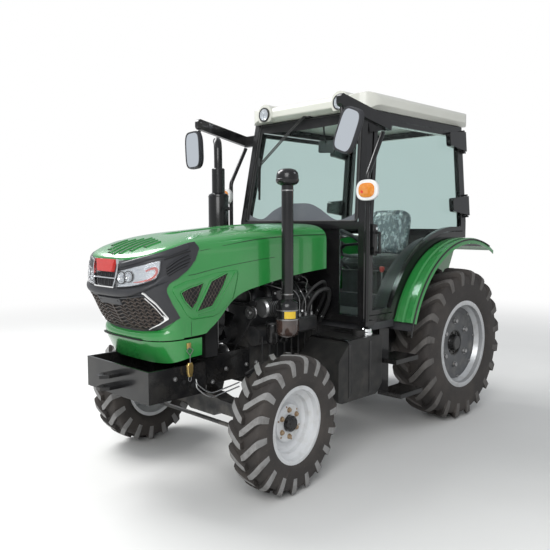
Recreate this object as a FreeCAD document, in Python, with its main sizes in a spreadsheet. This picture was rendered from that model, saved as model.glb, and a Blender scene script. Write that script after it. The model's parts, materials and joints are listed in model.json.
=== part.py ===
import FreeCAD, Part
import math
import os
import Sketcher

"""Farm tractor with a cab: an assembly of separate pieces, in millimetres.

The model stands on the ground plane, +X forward, +Y to its left, +Z up. Every piece is
drawn from the point on the ground below the rear axle, and its Placement then moves it
by rear_axle_x, so that the origin lies under the middle of the tractor's length.
"""

SIZES = (
    # name, value
    ("wheel_base", 1940.0),
    ("link_reach", 800.0),
    ("clevis_reach", 2705.0),
    # wheels
    ("rear_tyre_radius", 574.0),
    ("rear_tyre_width", 300.0),
    ("rear_track_half", 563.0),
    ("rear_bead_radius", 305.0),
    ("rear_rim_half", 137.0),
    ("front_tyre_radius", 388.0),
    ("front_tyre_width", 205.0),
    ("front_track_half", 665.0),
    ("front_bead_radius", 203.0),
    ("front_rim_half", 84.0),
    ("rear_lugs", 20.0),
    ("front_lugs", 18.0),
    ("rear_lug_height", 34.0),
    ("front_lug_height", 26.0),
    ("rear_lug_width", 36.0),
    ("front_lug_width", 27.0),
    ("lug_sweep_deg", 42.0),
    ("carcass_sides", 24.0),
    ("seat_inset", 12.0),
    ("rear_flange_rise", 33.0),
    ("front_flange_rise", 21.5),
    ("front_disc_shift", 22.0),
    ("spindle_y", 132.0),
    ("rim_metal", 8.0),
    ("disc_metal", 10.0),
    ("rear_disc_y", 620.0),
    ("rear_hub_radius", 100.0),
    ("front_hub_radius", 46.0),
    ("running_gap", 0.3),
    # front axle
    ("kingpin_y", 520.0),
    ("kingpin_radius", 42.0),
    ("kingpin_top", 82.0),
    ("kingpin_bottom", 58.0),
    ("yoke_plate", 18.0),
    ("steer_rest_deg", 6.0),
    ("arm_reach", 150.0),
    ("rod_pin_radius", 8.0),
    ("rod_radius", 12.0),
    ("beam_half_depth", 50.0),
    # front support and tow clevis
    ("support_low", 548.0),
    ("support_top", 723.0),
    ("support_front", 2590.0),
    ("support_half", 315.0),
    ("support_wide_from", 2210.0),
    ("rail_half", 190.0),
    ("plate_metal", 12.0),
    ("clevis_half", 45.0),
    ("clevis_bore", 13.0),
    # engine and transmission
    ("engine_rear", 1130.0),
    ("engine_front", 1760.0),
    ("engine_half", 165.0),
    ("engine_low", 470.0),
    ("engine_deck", 1000.0),
    ("gearbox_half", 150.0),
    ("gearbox_top", 790.0),
    ("gearbox_low", 400.0),
    ("gearbox_rear", -190.0),
    ("trumpet_radius", 82.0),
    ("pto_radius", 17.5),
    ("pto_height", 560.0),
    ("pto_reach", 110.0),
    # hood and nose
    ("hood_rear_x", 1222.0),
    ("hood_top_rear", 1494.0),
    ("hood_half", 360.0),
    ("hood_rear_low", 1197.0),
    ("nose_x", 2644.0),
    ("nose_z", 1140.0),
    ("chin_split_z", 860.0),
    ("grille_foot_z", 905.0),
    ("chin_low_z", 735.0),
    ("hood_wall", 14.0),
    ("slat_pitch", 46.0),
    ("chevron_pitch", 56.0),
    ("chevron_rise", 38.0),
    ("panel_gap", 6.0),
    # cab
    ("cab_front_x", 1120.0),
    ("cab_rear_x", -190.0),
    ("cab_half", 590.0),
    ("sill_z", 838.0),
    ("waist_z", 1506.0),
    ("cab_top_z", 2240.0),
    ("cab_top_front_x", 1010.0),
    ("side_lean_deg", 4.2),
    ("post_metal", 48.0),
    ("pane_metal", 5.0),
    ("seal_gap", 6.0),
    ("rear_rail_rise", 24.0),
    ("roof_overhang", 39.0),
    ("roof_top_z", 2452.0),
    ("roof_edge", 85.0),
    ("roof_front_x", 1085.0),
    ("roof_lamp_y", 355.0),
    ("roof_lamp_z", 2292.0),
    ("roof_lamp_radius", 52.0),
    ("roof_rear_x", -255.0),
    ("door_metal", 32.0),
    ("door_gap", 6.0),
    ("hinge_x", -168.0),
    ("hinge_stand", 22.0),
    ("hinge_pin_radius", 8.0),
    ("hinge_cover", 150.0),
    ("hinge_low_z", 1550.0),
    ("hinge_high_z", 2045.0),
    ("fender_front_deg", 25.0),
    ("hood_pin_x", 1240.0),
    ("hood_pin_z", 1440.0),
    ("hood_pin_y", 240.0),
    # fenders
    ("fender_gap", 226.0),
    ("fender_metal", 5.0),
    ("fender_inner_y", 385.0),
    ("fender_outer_y", 740.0),
    ("fender_rib", 9.0),
    ("fender_from_deg", 18.0),
    ("fender_sweep_deg", 100.0),
    # tank, boxes and steps
    ("tank_front_x", 1450.0),
    ("tank_rear_x", 1000.0),
    ("tank_inner_y", 330.0),
    ("tank_outer_y", 655.0),
    ("tank_low_z", 385.0),
    ("tank_top_z", 770.0),
    ("step_reach", 150.0),
    ("step_width", 190.0),
    ("step_depth", 260.0),
    ("step_metal", 30.0),
    ("step_low_z", 330.0),
    ("step_high_z", 570.0),
    # rails, mirrors and lamps
    ("rail_x", 1165.0),
    ("rail_radius", 15.0),
    ("rail_stand", 60.0),
    ("mirror_x", 1450.0),
    ("mirror_low_z", 1900.0),
    ("mirror_high_z", 2173.4),
    ("marker_z", 1700.0),
    ("marker_height", 130.0),
    ("marker_width", 165.0),
    ("tail_lamp_deg", 22.0),
    # stacks
    ("stack_x", 1690.0),
    ("stack_y", 455.0),
    ("stack_radius", 35.5),
    ("stack_low_z", 815.0),
    ("bowl_top_z", 1040.0),
    ("bowl_radius", 68.5),
    ("cap_z", 1730.0),
    ("cap_radius", 69.5),
    ("muffler_x", 1460.0),
    ("muffler_y", 450.0),
    ("muffler_radius", 72.0),
    ("muffler_top_z", 1700.0),
    # steering wheel and seat
    ("column_x", 640.0),
    ("column_z", 1330.0),
    ("column_tilt_deg", 35.0),
    ("wheel_ring_radius", 195.0),
    ("column_shaft", 120.0),
    ("column_tube", 300.0),
    ("seat_x", 210.0),
    ("seat_z", 1120.0),
    # hitch
    ("link_pin_x", -95.0),
    ("link_pin_z", 430.0),
    ("link_pin_y", 195.0),
    ("link_ball_radius", 11.2),
    ("link_metal", 24.0),
    ("link_eye_radius", 30.0),
    ("drawbar_bore", 16.0),
    ("link_pin_radius", 14.0),
    ("lift_shaft_z", 700.0),
    ("lift_shaft_radius", 30.0),
    ("lift_pin_radius", 9.0),
    ("lift_arm_reach", 260.0),
    ("top_pin_z", 650.0),
    ("top_pin_x", -225.0),
    ("top_ball_radius", 9.65),
    ("top_link_length", 520.0),
)

doc = FreeCAD.newDocument("Tractor")
sheet = doc.addObject("Spreadsheet::Sheet", "Sizes")


class Size:
    """A length or an angle: its spreadsheet expression beside its present value."""

    def __init__(self, text, value):
        self.text = text
        self.value = value

    def __add__(self, other):
        other = as_size(other)
        return Size(f"({self.text} + {other.text})", self.value + other.value)

    def __sub__(self, other):
        other = as_size(other)
        return Size(f"({self.text} - {other.text})", self.value - other.value)

    def __mul__(self, other):
        other = as_size(other)
        return Size(f"({self.text} * {other.text})", self.value * other.value)

    def __truediv__(self, other):
        other = as_size(other)
        return Size(f"({self.text} / {other.text})", self.value / other.value)

    def __radd__(self, other):
        return as_size(other) + self

    def __rsub__(self, other):
        return as_size(other) - self

    def __rmul__(self, other):
        return as_size(other) * self

    def __neg__(self):
        return as_size(0.0) - self


def as_size(number):
    """A plain number as a Size, and a Size as it is."""
    if isinstance(number, Size):
        return number
    return Size(f"({float(number)})", float(number))


def sine(angle):
    return Size(f"sin({angle.text})", math.sin(math.radians(angle.value)))


def cosine(angle):
    return Size(f"cos({angle.text})", math.cos(math.radians(angle.value)))


def root(size):
    return Size(f"sqrt({size.text})", math.sqrt(size.value))


class Named:
    """Every driving size by its name."""


def fill_sheet():
    """Write the driving sizes into the spreadsheet and name them."""
    named = Named()
    for row, (name, value) in enumerate(SIZES, start=1):
        sheet.set(f"A{row}", name)
        sheet.set(f"B{row}", str(value))
        sheet.setAlias(f"B{row}", name)
        setattr(named, name, Size(f"Sizes.{name}", value))
    doc.recompute()
    return named


q = fill_sheet()
nodes = []

REAR_AXLE_X = (q.link_reach - q.clevis_reach) / 2
FENDER_RADIUS = q.rear_tyre_radius + q.fender_gap
REAR_RAIL_Z = q.rear_tyre_radius + FENDER_RADIUS + q.rear_rail_rise
HINGE_Y = q.cab_half + q.hinge_stand
PLANE_OF = {"x": "YZ_Plane", "y": "XZ_Plane", "z": "XY_Plane"}


def bind(item, path, size):
    """Tie one property of an object to an expression of the sheet."""
    item.setExpression(path, as_size(size).text)


def move(item, x=0.0, y=0.0, z=0.0):
    """Tie an object's place to three sizes."""
    bind(item, "Placement.Base.x", x)
    bind(item, "Placement.Base.y", y)
    bind(item, "Placement.Base.z", z)


def finish(item, label, x=0.0, y=0.0, z=0.0):
    """Name a sub-part, put it in its place and keep it for export."""
    item.Label = label
    move(item, REAR_AXLE_X + x, y, z)
    nodes.append(item)
    return item


def new_body(label, x=0.0, y=0.0, z=0.0):
    """An empty body that becomes the sub-part of that name."""
    body = doc.addObject("PartDesign::Body", "Body")
    return finish(body, label, x, y, z)


def origin_feature(body, role):
    """A plane or an axis of the body's own origin."""
    for feature in body.Origin.OriginFeatures:
        if feature.Role == role:
            return feature
    raise ValueError(role)


def new_sketch(body, axis, offset=0.0):
    """A sketch across the axis x, y or z, its plane pushed along its own normal."""
    drawing = body.newObject("Sketcher::SketchObject", "Sketch")
    drawing.AttachmentSupport = (origin_feature(body, PLANE_OF[axis]), [""])
    drawing.MapMode = "FlatFace"
    bind(drawing, "AttachmentOffset.Base.z", offset)
    return drawing


def pin_point(drawing, geometry, end, across, up):
    """Fix a point of the sketch at two sizes from the sketch's origin."""
    for kind, size in (("DistanceX", across), ("DistanceY", up)):
        size = as_size(size)
        index = drawing.addConstraint(Sketcher.Constraint(kind, -1, 1, geometry, end, size.value))
        drawing.renameConstraint(index, f"c{index}")
        bind(drawing, f"Constraints.c{index}", size)


def bend(before, corner, after, radius):
    """Start, end and centre of the arc that rounds a corner, with numbers only."""
    to_before = (before - corner).normalize()
    to_after = (after - corner).normalize()
    half = to_before.getAngle(to_after) / 2
    reach = radius / math.tan(half)
    middle = (to_before + to_after).normalize() * (radius / math.sin(half))
    return corner + to_before * reach, corner + to_after * reach, corner + middle


def draw(drawing, corners, closed=True):
    """Draw an outline. A corner is (across, up) or (across, up, radius)."""
    count = len(corners)
    spots = [FreeCAD.Vector(as_size(c[0]).value, as_size(c[1]).value, 0) for c in corners]
    radii = [as_size(c[2]).value if len(c) == 3 else 0.0 for c in corners]
    starts = list(spots)
    ends = list(spots)
    centres = list(spots)
    for i in range(count):
        if radii[i]:
            bent = bend(spots[i - 1], spots[i], spots[(i + 1) % count], radii[i])
            starts[i], ends[i], centres[i] = bent
    lines = []
    for i in range(count if closed else count - 1):
        edge = Part.LineSegment(ends[i], starts[(i + 1) % count])
        lines.append(drawing.addGeometry(edge, False))
    for i in range(count):
        before = lines[i - 1]
        after = lines[i % len(lines)]
        if not closed and i == 0:
            pin_point(drawing, after, 1, *corners[i][:2])
        elif not closed and i == count - 1:
            pin_point(drawing, before, 2, *corners[i][:2])
        elif radii[i]:
            round_corner(drawing, corners[i], before, after, starts[i], ends[i], centres[i])
        else:
            drawing.addConstraint(Sketcher.Constraint("Coincident", before, 2, after, 1))
            pin_point(drawing, after, 1, *corners[i][:2])


def round_corner(drawing, corner, before, after, start, end, centre):
    """An arc tangent to two lines that meet, when extended, in the corner."""
    first = start - centre
    last = end - centre
    turns_left = first.cross(last).z > 0
    low, high = (first, last) if turns_left else (last, first)
    circle = Part.Circle(centre, FreeCAD.Vector(0, 0, 1), first.Length)
    arc = Part.ArcOfCircle(circle, math.atan2(low.y, low.x), math.atan2(high.y, high.x))
    bow = drawing.addGeometry(arc, False)
    start_end, end_end = (1, 2) if turns_left else (2, 1)
    drawing.addConstraint(Sketcher.Constraint("Tangent", before, 2, bow, start_end))
    drawing.addConstraint(Sketcher.Constraint("Tangent", bow, end_end, after, 1))
    index = drawing.addConstraint(Sketcher.Constraint("Radius", bow, first.Length))
    drawing.renameConstraint(index, f"c{index}")
    bind(drawing, f"Constraints.c{index}", corner[2])
    spot = FreeCAD.Vector(as_size(corner[0]).value, as_size(corner[1]).value, 0)
    point = drawing.addGeometry(Part.Point(spot), True)
    drawing.addConstraint(Sketcher.Constraint("PointOnObject", point, 1, before))
    drawing.addConstraint(Sketcher.Constraint("PointOnObject", point, 1, after))
    pin_point(drawing, point, 1, corner[0], corner[1])


def draw_circle(drawing, across, up, radius):
    """A full circle with its centre and its radius tied to the sheet."""
    spot = FreeCAD.Vector(as_size(across).value, as_size(up).value, 0)
    circle = Part.Circle(spot, FreeCAD.Vector(0, 0, 1), as_size(radius).value)
    ring = drawing.addGeometry(circle, False)
    pin_point(drawing, ring, 3, across, up)
    index = drawing.addConstraint(Sketcher.Constraint("Radius", ring, as_size(radius).value))
    drawing.renameConstraint(index, f"c{index}")
    bind(drawing, f"Constraints.c{index}", radius)


def extrude(body, axis, shape, low, high, cut=False):
    """Add or cut a straight prism of an outline or a circle, from low to high on the axis.

    The plane across y looks against +Y, so its offsets change sign; a pocket runs
    against its sketch's normal.
    """
    low = as_size(low)
    high = as_size(high)
    near_end = high if (axis == "y") != cut else low
    offset = -near_end if axis == "y" else near_end
    if cut and axis != "y":
        offset = high
    if cut and axis == "y":
        offset = -low
    drawing = new_sketch(body, axis, offset)
    if isinstance(shape, tuple):
        draw_circle(drawing, *shape)
    else:
        draw(drawing, shape)
    feature = body.newObject("PartDesign::Pocket" if cut else "PartDesign::Pad", "Prism")
    feature.Profile = drawing
    bind(feature, "Length", high - low)
    return feature


def revolve(body, axis, corners, angle=360.0, cut=False):
    """Turn an outline of (radius, along) about y (sketch across z) or z (sketch across y)."""
    drawing = new_sketch(body, "z" if axis == "y" else "y")
    draw(drawing, corners)
    feature = body.newObject("PartDesign::Groove" if cut else "PartDesign::Revolution", "Turned")
    feature.Profile = drawing
    feature.ReferenceAxis = (drawing, ["V_Axis"])
    bind(feature, "Angle", angle)
    return feature


def around(body, features, count, axis):
    """Repeat features about the body's own axis."""
    pattern = body.newObject("PartDesign::PolarPattern", "Around")
    pattern.Originals = features
    pattern.Axis = (origin_feature(body, axis), [""])
    pattern.Angle = 360.0
    bind(pattern, "Occurrences", count)
    body.Tip = pattern
    return pattern


def pipe(body, path_axis, path_offset, corners, profile_axis, profile_offset, centre, radius):
    """A round bar along an open path of straight runs and bends."""
    path = new_sketch(body, path_axis, path_offset)
    draw(path, corners, closed=False)
    section = new_sketch(body, profile_axis, profile_offset)
    draw_circle(section, centre[0], centre[1], radius)
    feature = body.newObject("PartDesign::AdditivePipe", "Bar")
    feature.Profile = section
    feature.Spine = (path, [])
    return feature


def box(x_low, x_high, y_low, y_high, z_low, z_high):
    """A block between six planes."""
    block = doc.addObject("Part::Box", "Block")
    bind(block, "Length", as_size(x_high) - x_low)
    bind(block, "Width", as_size(y_high) - y_low)
    bind(block, "Height", as_size(z_high) - z_low)
    move(block, x_low, y_low, z_low)
    return block


def rod(axis, radius, x, y, z, length):
    """A cylinder that starts at a point and runs along the axis."""
    turns = {"x": ((0, 1, 0), 90), "y": ((1, 0, 0), -90), "z": ((0, 0, 1), 0)}
    line, angle = turns[axis]
    bar = doc.addObject("Part::Cylinder", "Rod")
    bar.Placement.Rotation = FreeCAD.Rotation(FreeCAD.Vector(*line), angle)
    bind(bar, "Radius", radius)
    bind(bar, "Height", length)
    move(bar, x, y, z)
    return bar


def joined(items):
    """Several solids as one."""
    union = doc.addObject("Part::MultiFuse", "Union")
    union.Shapes = items
    return union


def together(items):
    """Solids that don't touch, kept apart in one sub-part."""
    group = doc.addObject("Part::Compound", "Group")
    group.Links = items
    return group


def less(base, tool):
    """A solid with another one taken away."""
    rest = doc.addObject("Part::Cut", "Rest")
    rest.Base = base
    rest.Tool = tool
    return rest


def shared(items):
    """What several solids have in common."""
    common = doc.addObject("Part::MultiCommon", "Shared")
    common.Shapes = items
    return common


def new_body_part():
    """A body that is only a stage of a sub-part."""
    return doc.addObject("PartDesign::Body", "Stage")


# Wheels

SIDES = ((1.0, "left"), (-1.0, "right"))


def span(side, inner, outer):
    """The two ends of a stretch across the tractor, lower one first."""
    ends = (side * as_size(inner), side * as_size(outer))
    return ends if side > 0 else ends[::-1]


def steered(body):
    """Turn a piece about its kingpin by the angle at which the wheels are parked."""
    bind(body, "Placement.Rotation.Angle", q.steer_rest_deg)
    return body


def wheel_outline(side, shift, corners):
    """Corners (radius, along the axle) on one side, with the wheel's middle at shift."""
    return [(corner[0], side * (shift + corner[1])) for corner in corners]


def many_sided(corners, reach):
    """What prisms of one cross-section share, each turned further about the axle."""
    slabs = []
    for turn in range(int(q.carcass_sides.value) // 2):
        slab = new_body_part()
        slab.Placement.Rotation = FreeCAD.Rotation(FreeCAD.Vector(0, 1, 0), 1.0)
        bind(slab, "Placement.Rotation.Angle", as_size(360.0) / q.carcass_sides * turn)
        extrude(slab, "x", corners, -reach, reach)
        slabs.append(slab)
    return shared(slabs)


def make_carcass(radius, width, rim_half, bead):
    """The tyre below its lugs, with flat sides: crown, shoulders and walls down to the rim."""
    half = width / 2
    inset = cosine(as_size(180.0) / q.carcass_sides)
    crown = radius * inset
    widest = (bead + radius) / 2 * inset
    flange = (bead + rim_half * 0.25) * inset
    seat = rim_half - q.seat_inset
    slope = (widest - flange) / (half - seat)
    body = many_sided([
        (-half * 0.82, -crown), (-half, -widest), (-half, widest), (-half * 0.82, crown),
        (half * 0.82, crown), (half, widest), (half, -widest), (half * 0.82, -crown),
    ], radius * 1.1)
    dishes = [
        many_sided([
            (sign * seat, -flange), (sign * (half + 10.0), -widest - slope * 10.0),
            (sign * (half + 10.0), widest + slope * 10.0), (sign * seat, flange),
        ], radius * 1.1)
        for sign in (1.0, -1.0)
    ]
    return less(less(body, dishes[0]), dishes[1])


def make_lugs(sign, shift, radius, width, height, thick, count):
    """The lugs of one half of the tread, on a drum that lies inside the carcass.

    A lug is a prism in a plane turned by the sweep about the upright, so its outer end
    stands behind its inner one; there its crest drops to keep inside the tyre's circle.
    """
    half = width / 2
    sweep = q.lug_sweep_deg
    reach = half / cosine(sweep)
    aside = half * sine(sweep) / cosine(sweep) + thick / 2
    crest = root(radius * radius - aside * aside) - 2.0
    base = radius - height
    lugs = new_body_part()
    lugs.Placement.Rotation = FreeCAD.Rotation(FreeCAD.Vector(0, 1, 0), 1.0)
    bind(lugs, "Placement.Rotation.Angle", as_size(90.0) / count * sign)
    move(lugs, 0.0, shift)
    extrude(lugs, "y", (0.0, 0.0, base - 25.0), *span(sign, 0.0, half * 0.7))
    drawing = new_sketch(lugs, "x", cosine(sweep) * thick / -2.0)
    turn = FreeCAD.Rotation(FreeCAD.Vector(0, 1, 0), sign * sweep.value)
    drawing.AttachmentOffset = FreeCAD.Placement(FreeCAD.Vector(0, 0, 0), turn)
    bind(drawing, "AttachmentOffset.Base.x", sine(sweep) * thick / (-2.0 * sign))
    draw(drawing, [
        (sign * -6.0, base - 40.0), (reach * (0.6 * sign), base - 50.0),
        (reach * sign, crest - height * 1.4),
        (reach * sign, crest), (sign * -6.0, radius - 2.0),
    ])
    lug = lugs.newObject("PartDesign::Pad", "Lug")
    lug.Profile = drawing
    bind(lug, "Length", thick)
    around(lugs, [lug], count, "Y_Axis")
    return lugs


def make_tyre(label, place, shift, radius, width, bead, carcass, lugs):
    """A tyre about the Y axis: carcass, two staggered rows of lugs and a bore for the rim."""
    height, thick, count = lugs
    form = together([carcass])
    move(form, 0.0, shift)
    rows = [make_lugs(sign, shift, radius, width, height, thick, count) for sign in (1.0, -1.0)]
    bore = doc.addObject("Part::Prism", "Bore")
    bore.Placement.Rotation = FreeCAD.Rotation(FreeCAD.Vector(1, 0, 0), -90)
    bind(bore, "Polygon", q.carcass_sides)
    bind(bore, "Circumradius", bead / cosine(as_size(180.0) / q.carcass_sides))
    bind(bore, "Height", width * 2.0)
    move(bore, 0.0, shift - width)
    return finish(less(joined([form] + rows), bore), label, *place)


def make_rear_wheel(side, word, carcass):
    """A rear wheel: rim with its flat disc and hub, and the tyre."""
    place = (0.0, side * q.rear_track_half, q.rear_tyre_radius)
    rim = new_body(f"rim_rear_{word}", *place)
    disc = q.rear_disc_y - q.rear_track_half
    bead = q.rear_bead_radius
    inside = bead - q.rim_metal
    flange = bead + q.rear_flange_rise
    edge = q.rear_rim_half
    hub = q.rear_hub_radius
    revolve(rim, "y", wheel_outline(side, as_size(0.0), [
        (hub, disc), (inside - 45.0, disc), (inside, disc + 14.0),
        (inside, edge), (flange, edge), (flange, edge - 9.0), (bead, edge - 12.0),
        (bead, 12.0 - edge), (flange, 9.0 - edge), (flange, -edge),
        (inside, -edge), (inside, disc - 4.0), (inside - 40.0, disc - q.disc_metal),
        (hub, disc - q.disc_metal),
    ]))
    revolve(rim, "y", wheel_outline(side, as_size(0.0), [
        (0.0, disc - 48.0), (hub + 30.0, disc - 48.0), (hub + 30.0, disc - q.disc_metal),
        (hub, disc - q.disc_metal), (hub, disc + 12.0),
        (60.0, disc + 24.0), (60.0, disc + 60.0), (0.0, disc + 60.0),
    ]))
    make_tyre(f"tyre_rear_{word}", place, as_size(0.0), q.rear_tyre_radius, q.rear_tyre_width,
              bead, carcass, (q.rear_lug_height, q.rear_lug_width, q.rear_lugs))


def make_front_wheel(side, word, carcass):
    """A steered wheel, drawn from its kingpin: rim with dished disc and hub, and the tyre."""
    place = (q.wheel_base, side * q.kingpin_y, q.front_tyre_radius)
    rim = steered(new_body(f"rim_front_{word}", *place))
    shift = q.front_track_half - q.kingpin_y
    bead = q.front_bead_radius
    inside = bead - q.rim_metal
    flange = bead + q.front_flange_rise
    edge = q.front_rim_half
    hub = q.front_hub_radius
    disc = q.front_disc_shift
    revolve(rim, "y", wheel_outline(side, shift, [
        (hub, disc), (120.0, disc), (inside - 20.0, disc + 22.0), (inside, disc + 30.0),
        (inside, edge), (flange, edge), (flange, edge - 8.0), (bead, edge - 12.0),
        (bead, 12.0 - edge), (flange, 8.0 - edge), (flange, -edge), (inside, -edge),
        (inside, disc + 10.0), (118.0, disc - q.disc_metal), (hub, disc - q.disc_metal),
    ]))
    inner = q.spindle_y - shift + q.running_gap
    revolve(rim, "y", wheel_outline(side, shift, [
        (0.0, inner), (80.0, inner), (80.0, disc - q.disc_metal),
        (hub, disc - q.disc_metal), (hub, disc + 34.0), (0.0, disc + 34.0),
    ]))
    steered(make_tyre(f"tyre_front_{word}", place, side * shift, q.front_tyre_radius,
                      q.front_tyre_width, bead, carcass,
                      (q.front_lug_height, q.front_lug_width, q.front_lugs)))


# Front axle


def make_knuckle(side, word):
    """A steering knuckle: two yoke plates, outer wall, spindle and steering arm."""
    knuckle = steered(new_body(f"knuckle_{word}", q.wheel_base, side * q.kingpin_y,
                               q.front_tyre_radius))
    top = q.kingpin_top + q.running_gap
    low = -q.kingpin_bottom - q.running_gap
    wall = q.kingpin_radius + 2.0
    for level in (top, low - q.yoke_plate):
        extrude(knuckle, "z", (0.0, 0.0, q.kingpin_radius), level, level + q.yoke_plate)
        extrude(knuckle, "z", [
            (-q.kingpin_radius, 0.0), (-q.kingpin_radius, side * (wall + q.yoke_plate)),
            (q.kingpin_radius, side * (wall + q.yoke_plate)), (q.kingpin_radius, 0.0),
        ], level, level + q.yoke_plate)
    extrude(knuckle, "y", [
        (-q.kingpin_radius, low), (q.kingpin_radius, low), (q.kingpin_radius, top),
        (-q.kingpin_radius, top),
    ], *span(side, wall, wall + q.yoke_plate))
    extrude(knuckle, "y", (0.0, 0.0, 45.0), *span(side, wall, q.spindle_y))
    half = q.rod_pin_radius * 2.2
    extrude(knuckle, "z", [
        (0.0, -half), (q.arm_reach, -half), (q.arm_reach + half, 0.0), (q.arm_reach, half),
        (0.0, half),
    ], low - q.yoke_plate, low)
    extrude(knuckle, "z", (q.arm_reach, 0.0, q.rod_pin_radius),
            low - 1.0, low + q.rod_radius * 2 + 6.0)


def make_tie_rod():
    """The track rod between the two equal steering arms, an eye on each pin."""
    low = q.front_tyre_radius - q.kingpin_bottom
    x_rod = q.wheel_base + cosine(q.steer_rest_deg) * q.arm_reach
    shift = sine(q.steer_rest_deg) * q.arm_reach
    y_left = shift + q.kingpin_y
    y_right = shift - q.kingpin_y
    eye = q.rod_pin_radius * 2.2
    height = q.rod_radius * 2 + 4.0
    bar = rod("y", q.rod_radius, x_rod, y_right + eye * 0.8, low + height / 2,
              y_left - y_right - eye * 1.6)
    rings = [
        less(rod("z", eye, x_rod, y, low, height),
             rod("z", q.rod_pin_radius + q.running_gap, x_rod, y, low - 5.0, height + 10.0))
        for y in (y_left, y_right)
    ]
    finish(joined([bar] + rings), "tie_rod")


def make_axle_beam():
    """The front axle: arched beam, drive housing in the middle and a boss at each end."""
    beam = new_body("front_axle_beam", q.wheel_base, 0.0, q.front_tyre_radius)
    reach = q.kingpin_y
    extrude(beam, "x", [
        (-reach, -36.0), (-160.0, -36.0), (-120.0, -62.0), (120.0, -62.0), (160.0, -36.0),
        (reach, -36.0), (reach, 36.0), (180.0, 46.0), (100.0, 66.0), (-100.0, 66.0),
        (-180.0, 46.0), (-reach, 36.0),
    ], -q.beam_half_depth, q.beam_half_depth)
    for side, _ in SIDES:
        extrude(beam, "z", (0.0, side * reach, q.kingpin_radius), -q.kingpin_bottom, q.kingpin_top)


# Chassis


def make_transmission():
    """Gearbox with bell housing, rear axle trumpets and the power take-off shaft."""
    casing = new_body("transmission")
    half = q.gearbox_half
    low = q.gearbox_low
    top = q.gearbox_top
    extrude(casing, "y", [
        (q.gearbox_rear, low), (330.0, low), (460.0, low + 70.0), (q.engine_rear - 160.0, low + 90.0),
        (q.engine_rear, low + 60.0), (q.engine_rear, top),
        (q.gearbox_rear + 60.0, top), (q.gearbox_rear, top - 60.0),
    ], -half, half)
    axle = q.rear_tyre_radius
    drum = q.rear_disc_y - 48.0 - q.running_gap
    for side, _ in SIDES:
        start, end = span(side, half - 1.0, drum)
        extrude(casing, "y", (0.0, axle, q.trumpet_radius), start, end)
        start, end = span(side, drum - 90.0, drum)
        extrude(casing, "y", (0.0, axle, q.trumpet_radius + 60.0), start, end)
    extrude(casing, "x", (0.0, q.pto_height, q.pto_radius), q.gearbox_rear - q.pto_reach,
            q.gearbox_rear + 1.0)
    extrude(casing, "y", (q.link_pin_x, q.lift_shaft_z, q.lift_shaft_radius + q.running_gap),
            -half - 5.0, half + 5.0, cut=True)
    reach = q.link_pin_y + q.link_metal
    extrude(casing, "y", (q.link_pin_x, q.link_pin_z, q.link_pin_radius), -reach, reach)
    ear = q.link_pin_radius + 12.0
    for level in (-1.0, 1.0):
        start, end = span(level, 18.0 + q.running_gap, 30.0)
        extrude(casing, "y", [
            (q.gearbox_rear + 1.0, q.top_pin_z - ear), (q.top_pin_x - ear, q.top_pin_z - ear, 12.0),
            (q.top_pin_x - ear, q.top_pin_z + ear, 12.0), (q.gearbox_rear + 1.0, q.top_pin_z + ear),
        ], start, end)
    extrude(casing, "y", (q.top_pin_x, q.top_pin_z, q.link_pin_radius), -32.0, 32.0)


def make_engine():
    """The engine as one plain block with sump, head and rocker cover."""
    low = q.engine_low
    deck = q.engine_deck
    half = q.engine_half
    block = box(q.engine_rear, q.engine_front, -half, half, low + 110.0, deck)
    sump = box(q.engine_rear + 60.0, q.engine_front - 60.0, -half * 0.7, half * 0.7, low,
               low + 110.0)
    head = box(q.engine_rear + 50.0, q.engine_front - 40.0, -half * 0.75, half * 0.75, deck,
               deck + 90.0)
    cover = box(q.engine_rear + 90.0, q.engine_front - 80.0, -half * 0.45, half * 0.45,
                deck + 90.0, deck + 160.0)
    pulley = rod("x", 80.0, q.engine_front, 0.0, q.support_top + 90.0, 50.0)
    generator = rod("x", 62.0, q.engine_front - 170.0, half + 55.0, deck - 200.0, 170.0)
    finish(joined([block, sump, head, cover, pulley, generator]), "engine")


def make_front_support():
    """The front frame: a tray that carries engine front, radiator and bumper, with a clevis."""
    frame = new_body("front_support")
    rear = q.engine_front
    wide = q.support_wide_from
    metal = q.plate_metal
    rail = q.rail_half
    half = q.support_half
    front = q.support_front
    extrude(frame, "z", [
        (rear, -rail), (wide, -rail), (wide, -half), (front, -half), (front, half),
        (wide, half), (wide, rail), (rear, rail),
    ], q.support_low, q.support_top)
    extrude(frame, "z", [
        (rear + metal, metal - rail), (wide + metal, metal - rail), (wide + metal, metal - half),
        (front - metal, metal - half), (front - metal, half - metal), (wide + metal, half - metal),
        (wide + metal, rail - metal), (rear + metal, rail - metal),
    ], q.support_low + metal, q.support_top + 1.0, cut=True)
    under = q.front_tyre_radius + 66.0
    extrude(frame, "x", [
        (-60.0, under), (60.0, under), (90.0, q.support_low + 1.0), (-90.0, q.support_low + 1.0),
    ], q.wheel_base - 70.0, q.wheel_base + 70.0)
    middle = (q.support_low + q.support_top) / 2
    eye = q.clevis_reach - q.clevis_half
    for level in (middle - 42.0, middle + 24.0):
        extrude(frame, "z", [
            (front - 1.0, -q.clevis_half), (eye, -q.clevis_half),
            (q.clevis_reach, -q.clevis_half * 0.4), (q.clevis_reach, q.clevis_half * 0.4),
            (eye, q.clevis_half), (front - 1.0, q.clevis_half),
        ], level, level + 18.0)
    extrude(frame, "z", (eye, 0.0, q.clevis_bore), q.support_low, q.support_top, cut=True)


def make_radiator():
    """The radiator with its side plates, between the engine and the grille."""
    core = box(2050.0, 2140.0, -230.0, 230.0, q.support_top, 1180.0)
    tank = box(2035.0, 2155.0, -180.0, 180.0, 1180.0, 1240.0)
    finish(joined([core, tank]), "radiator_unit")


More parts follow.
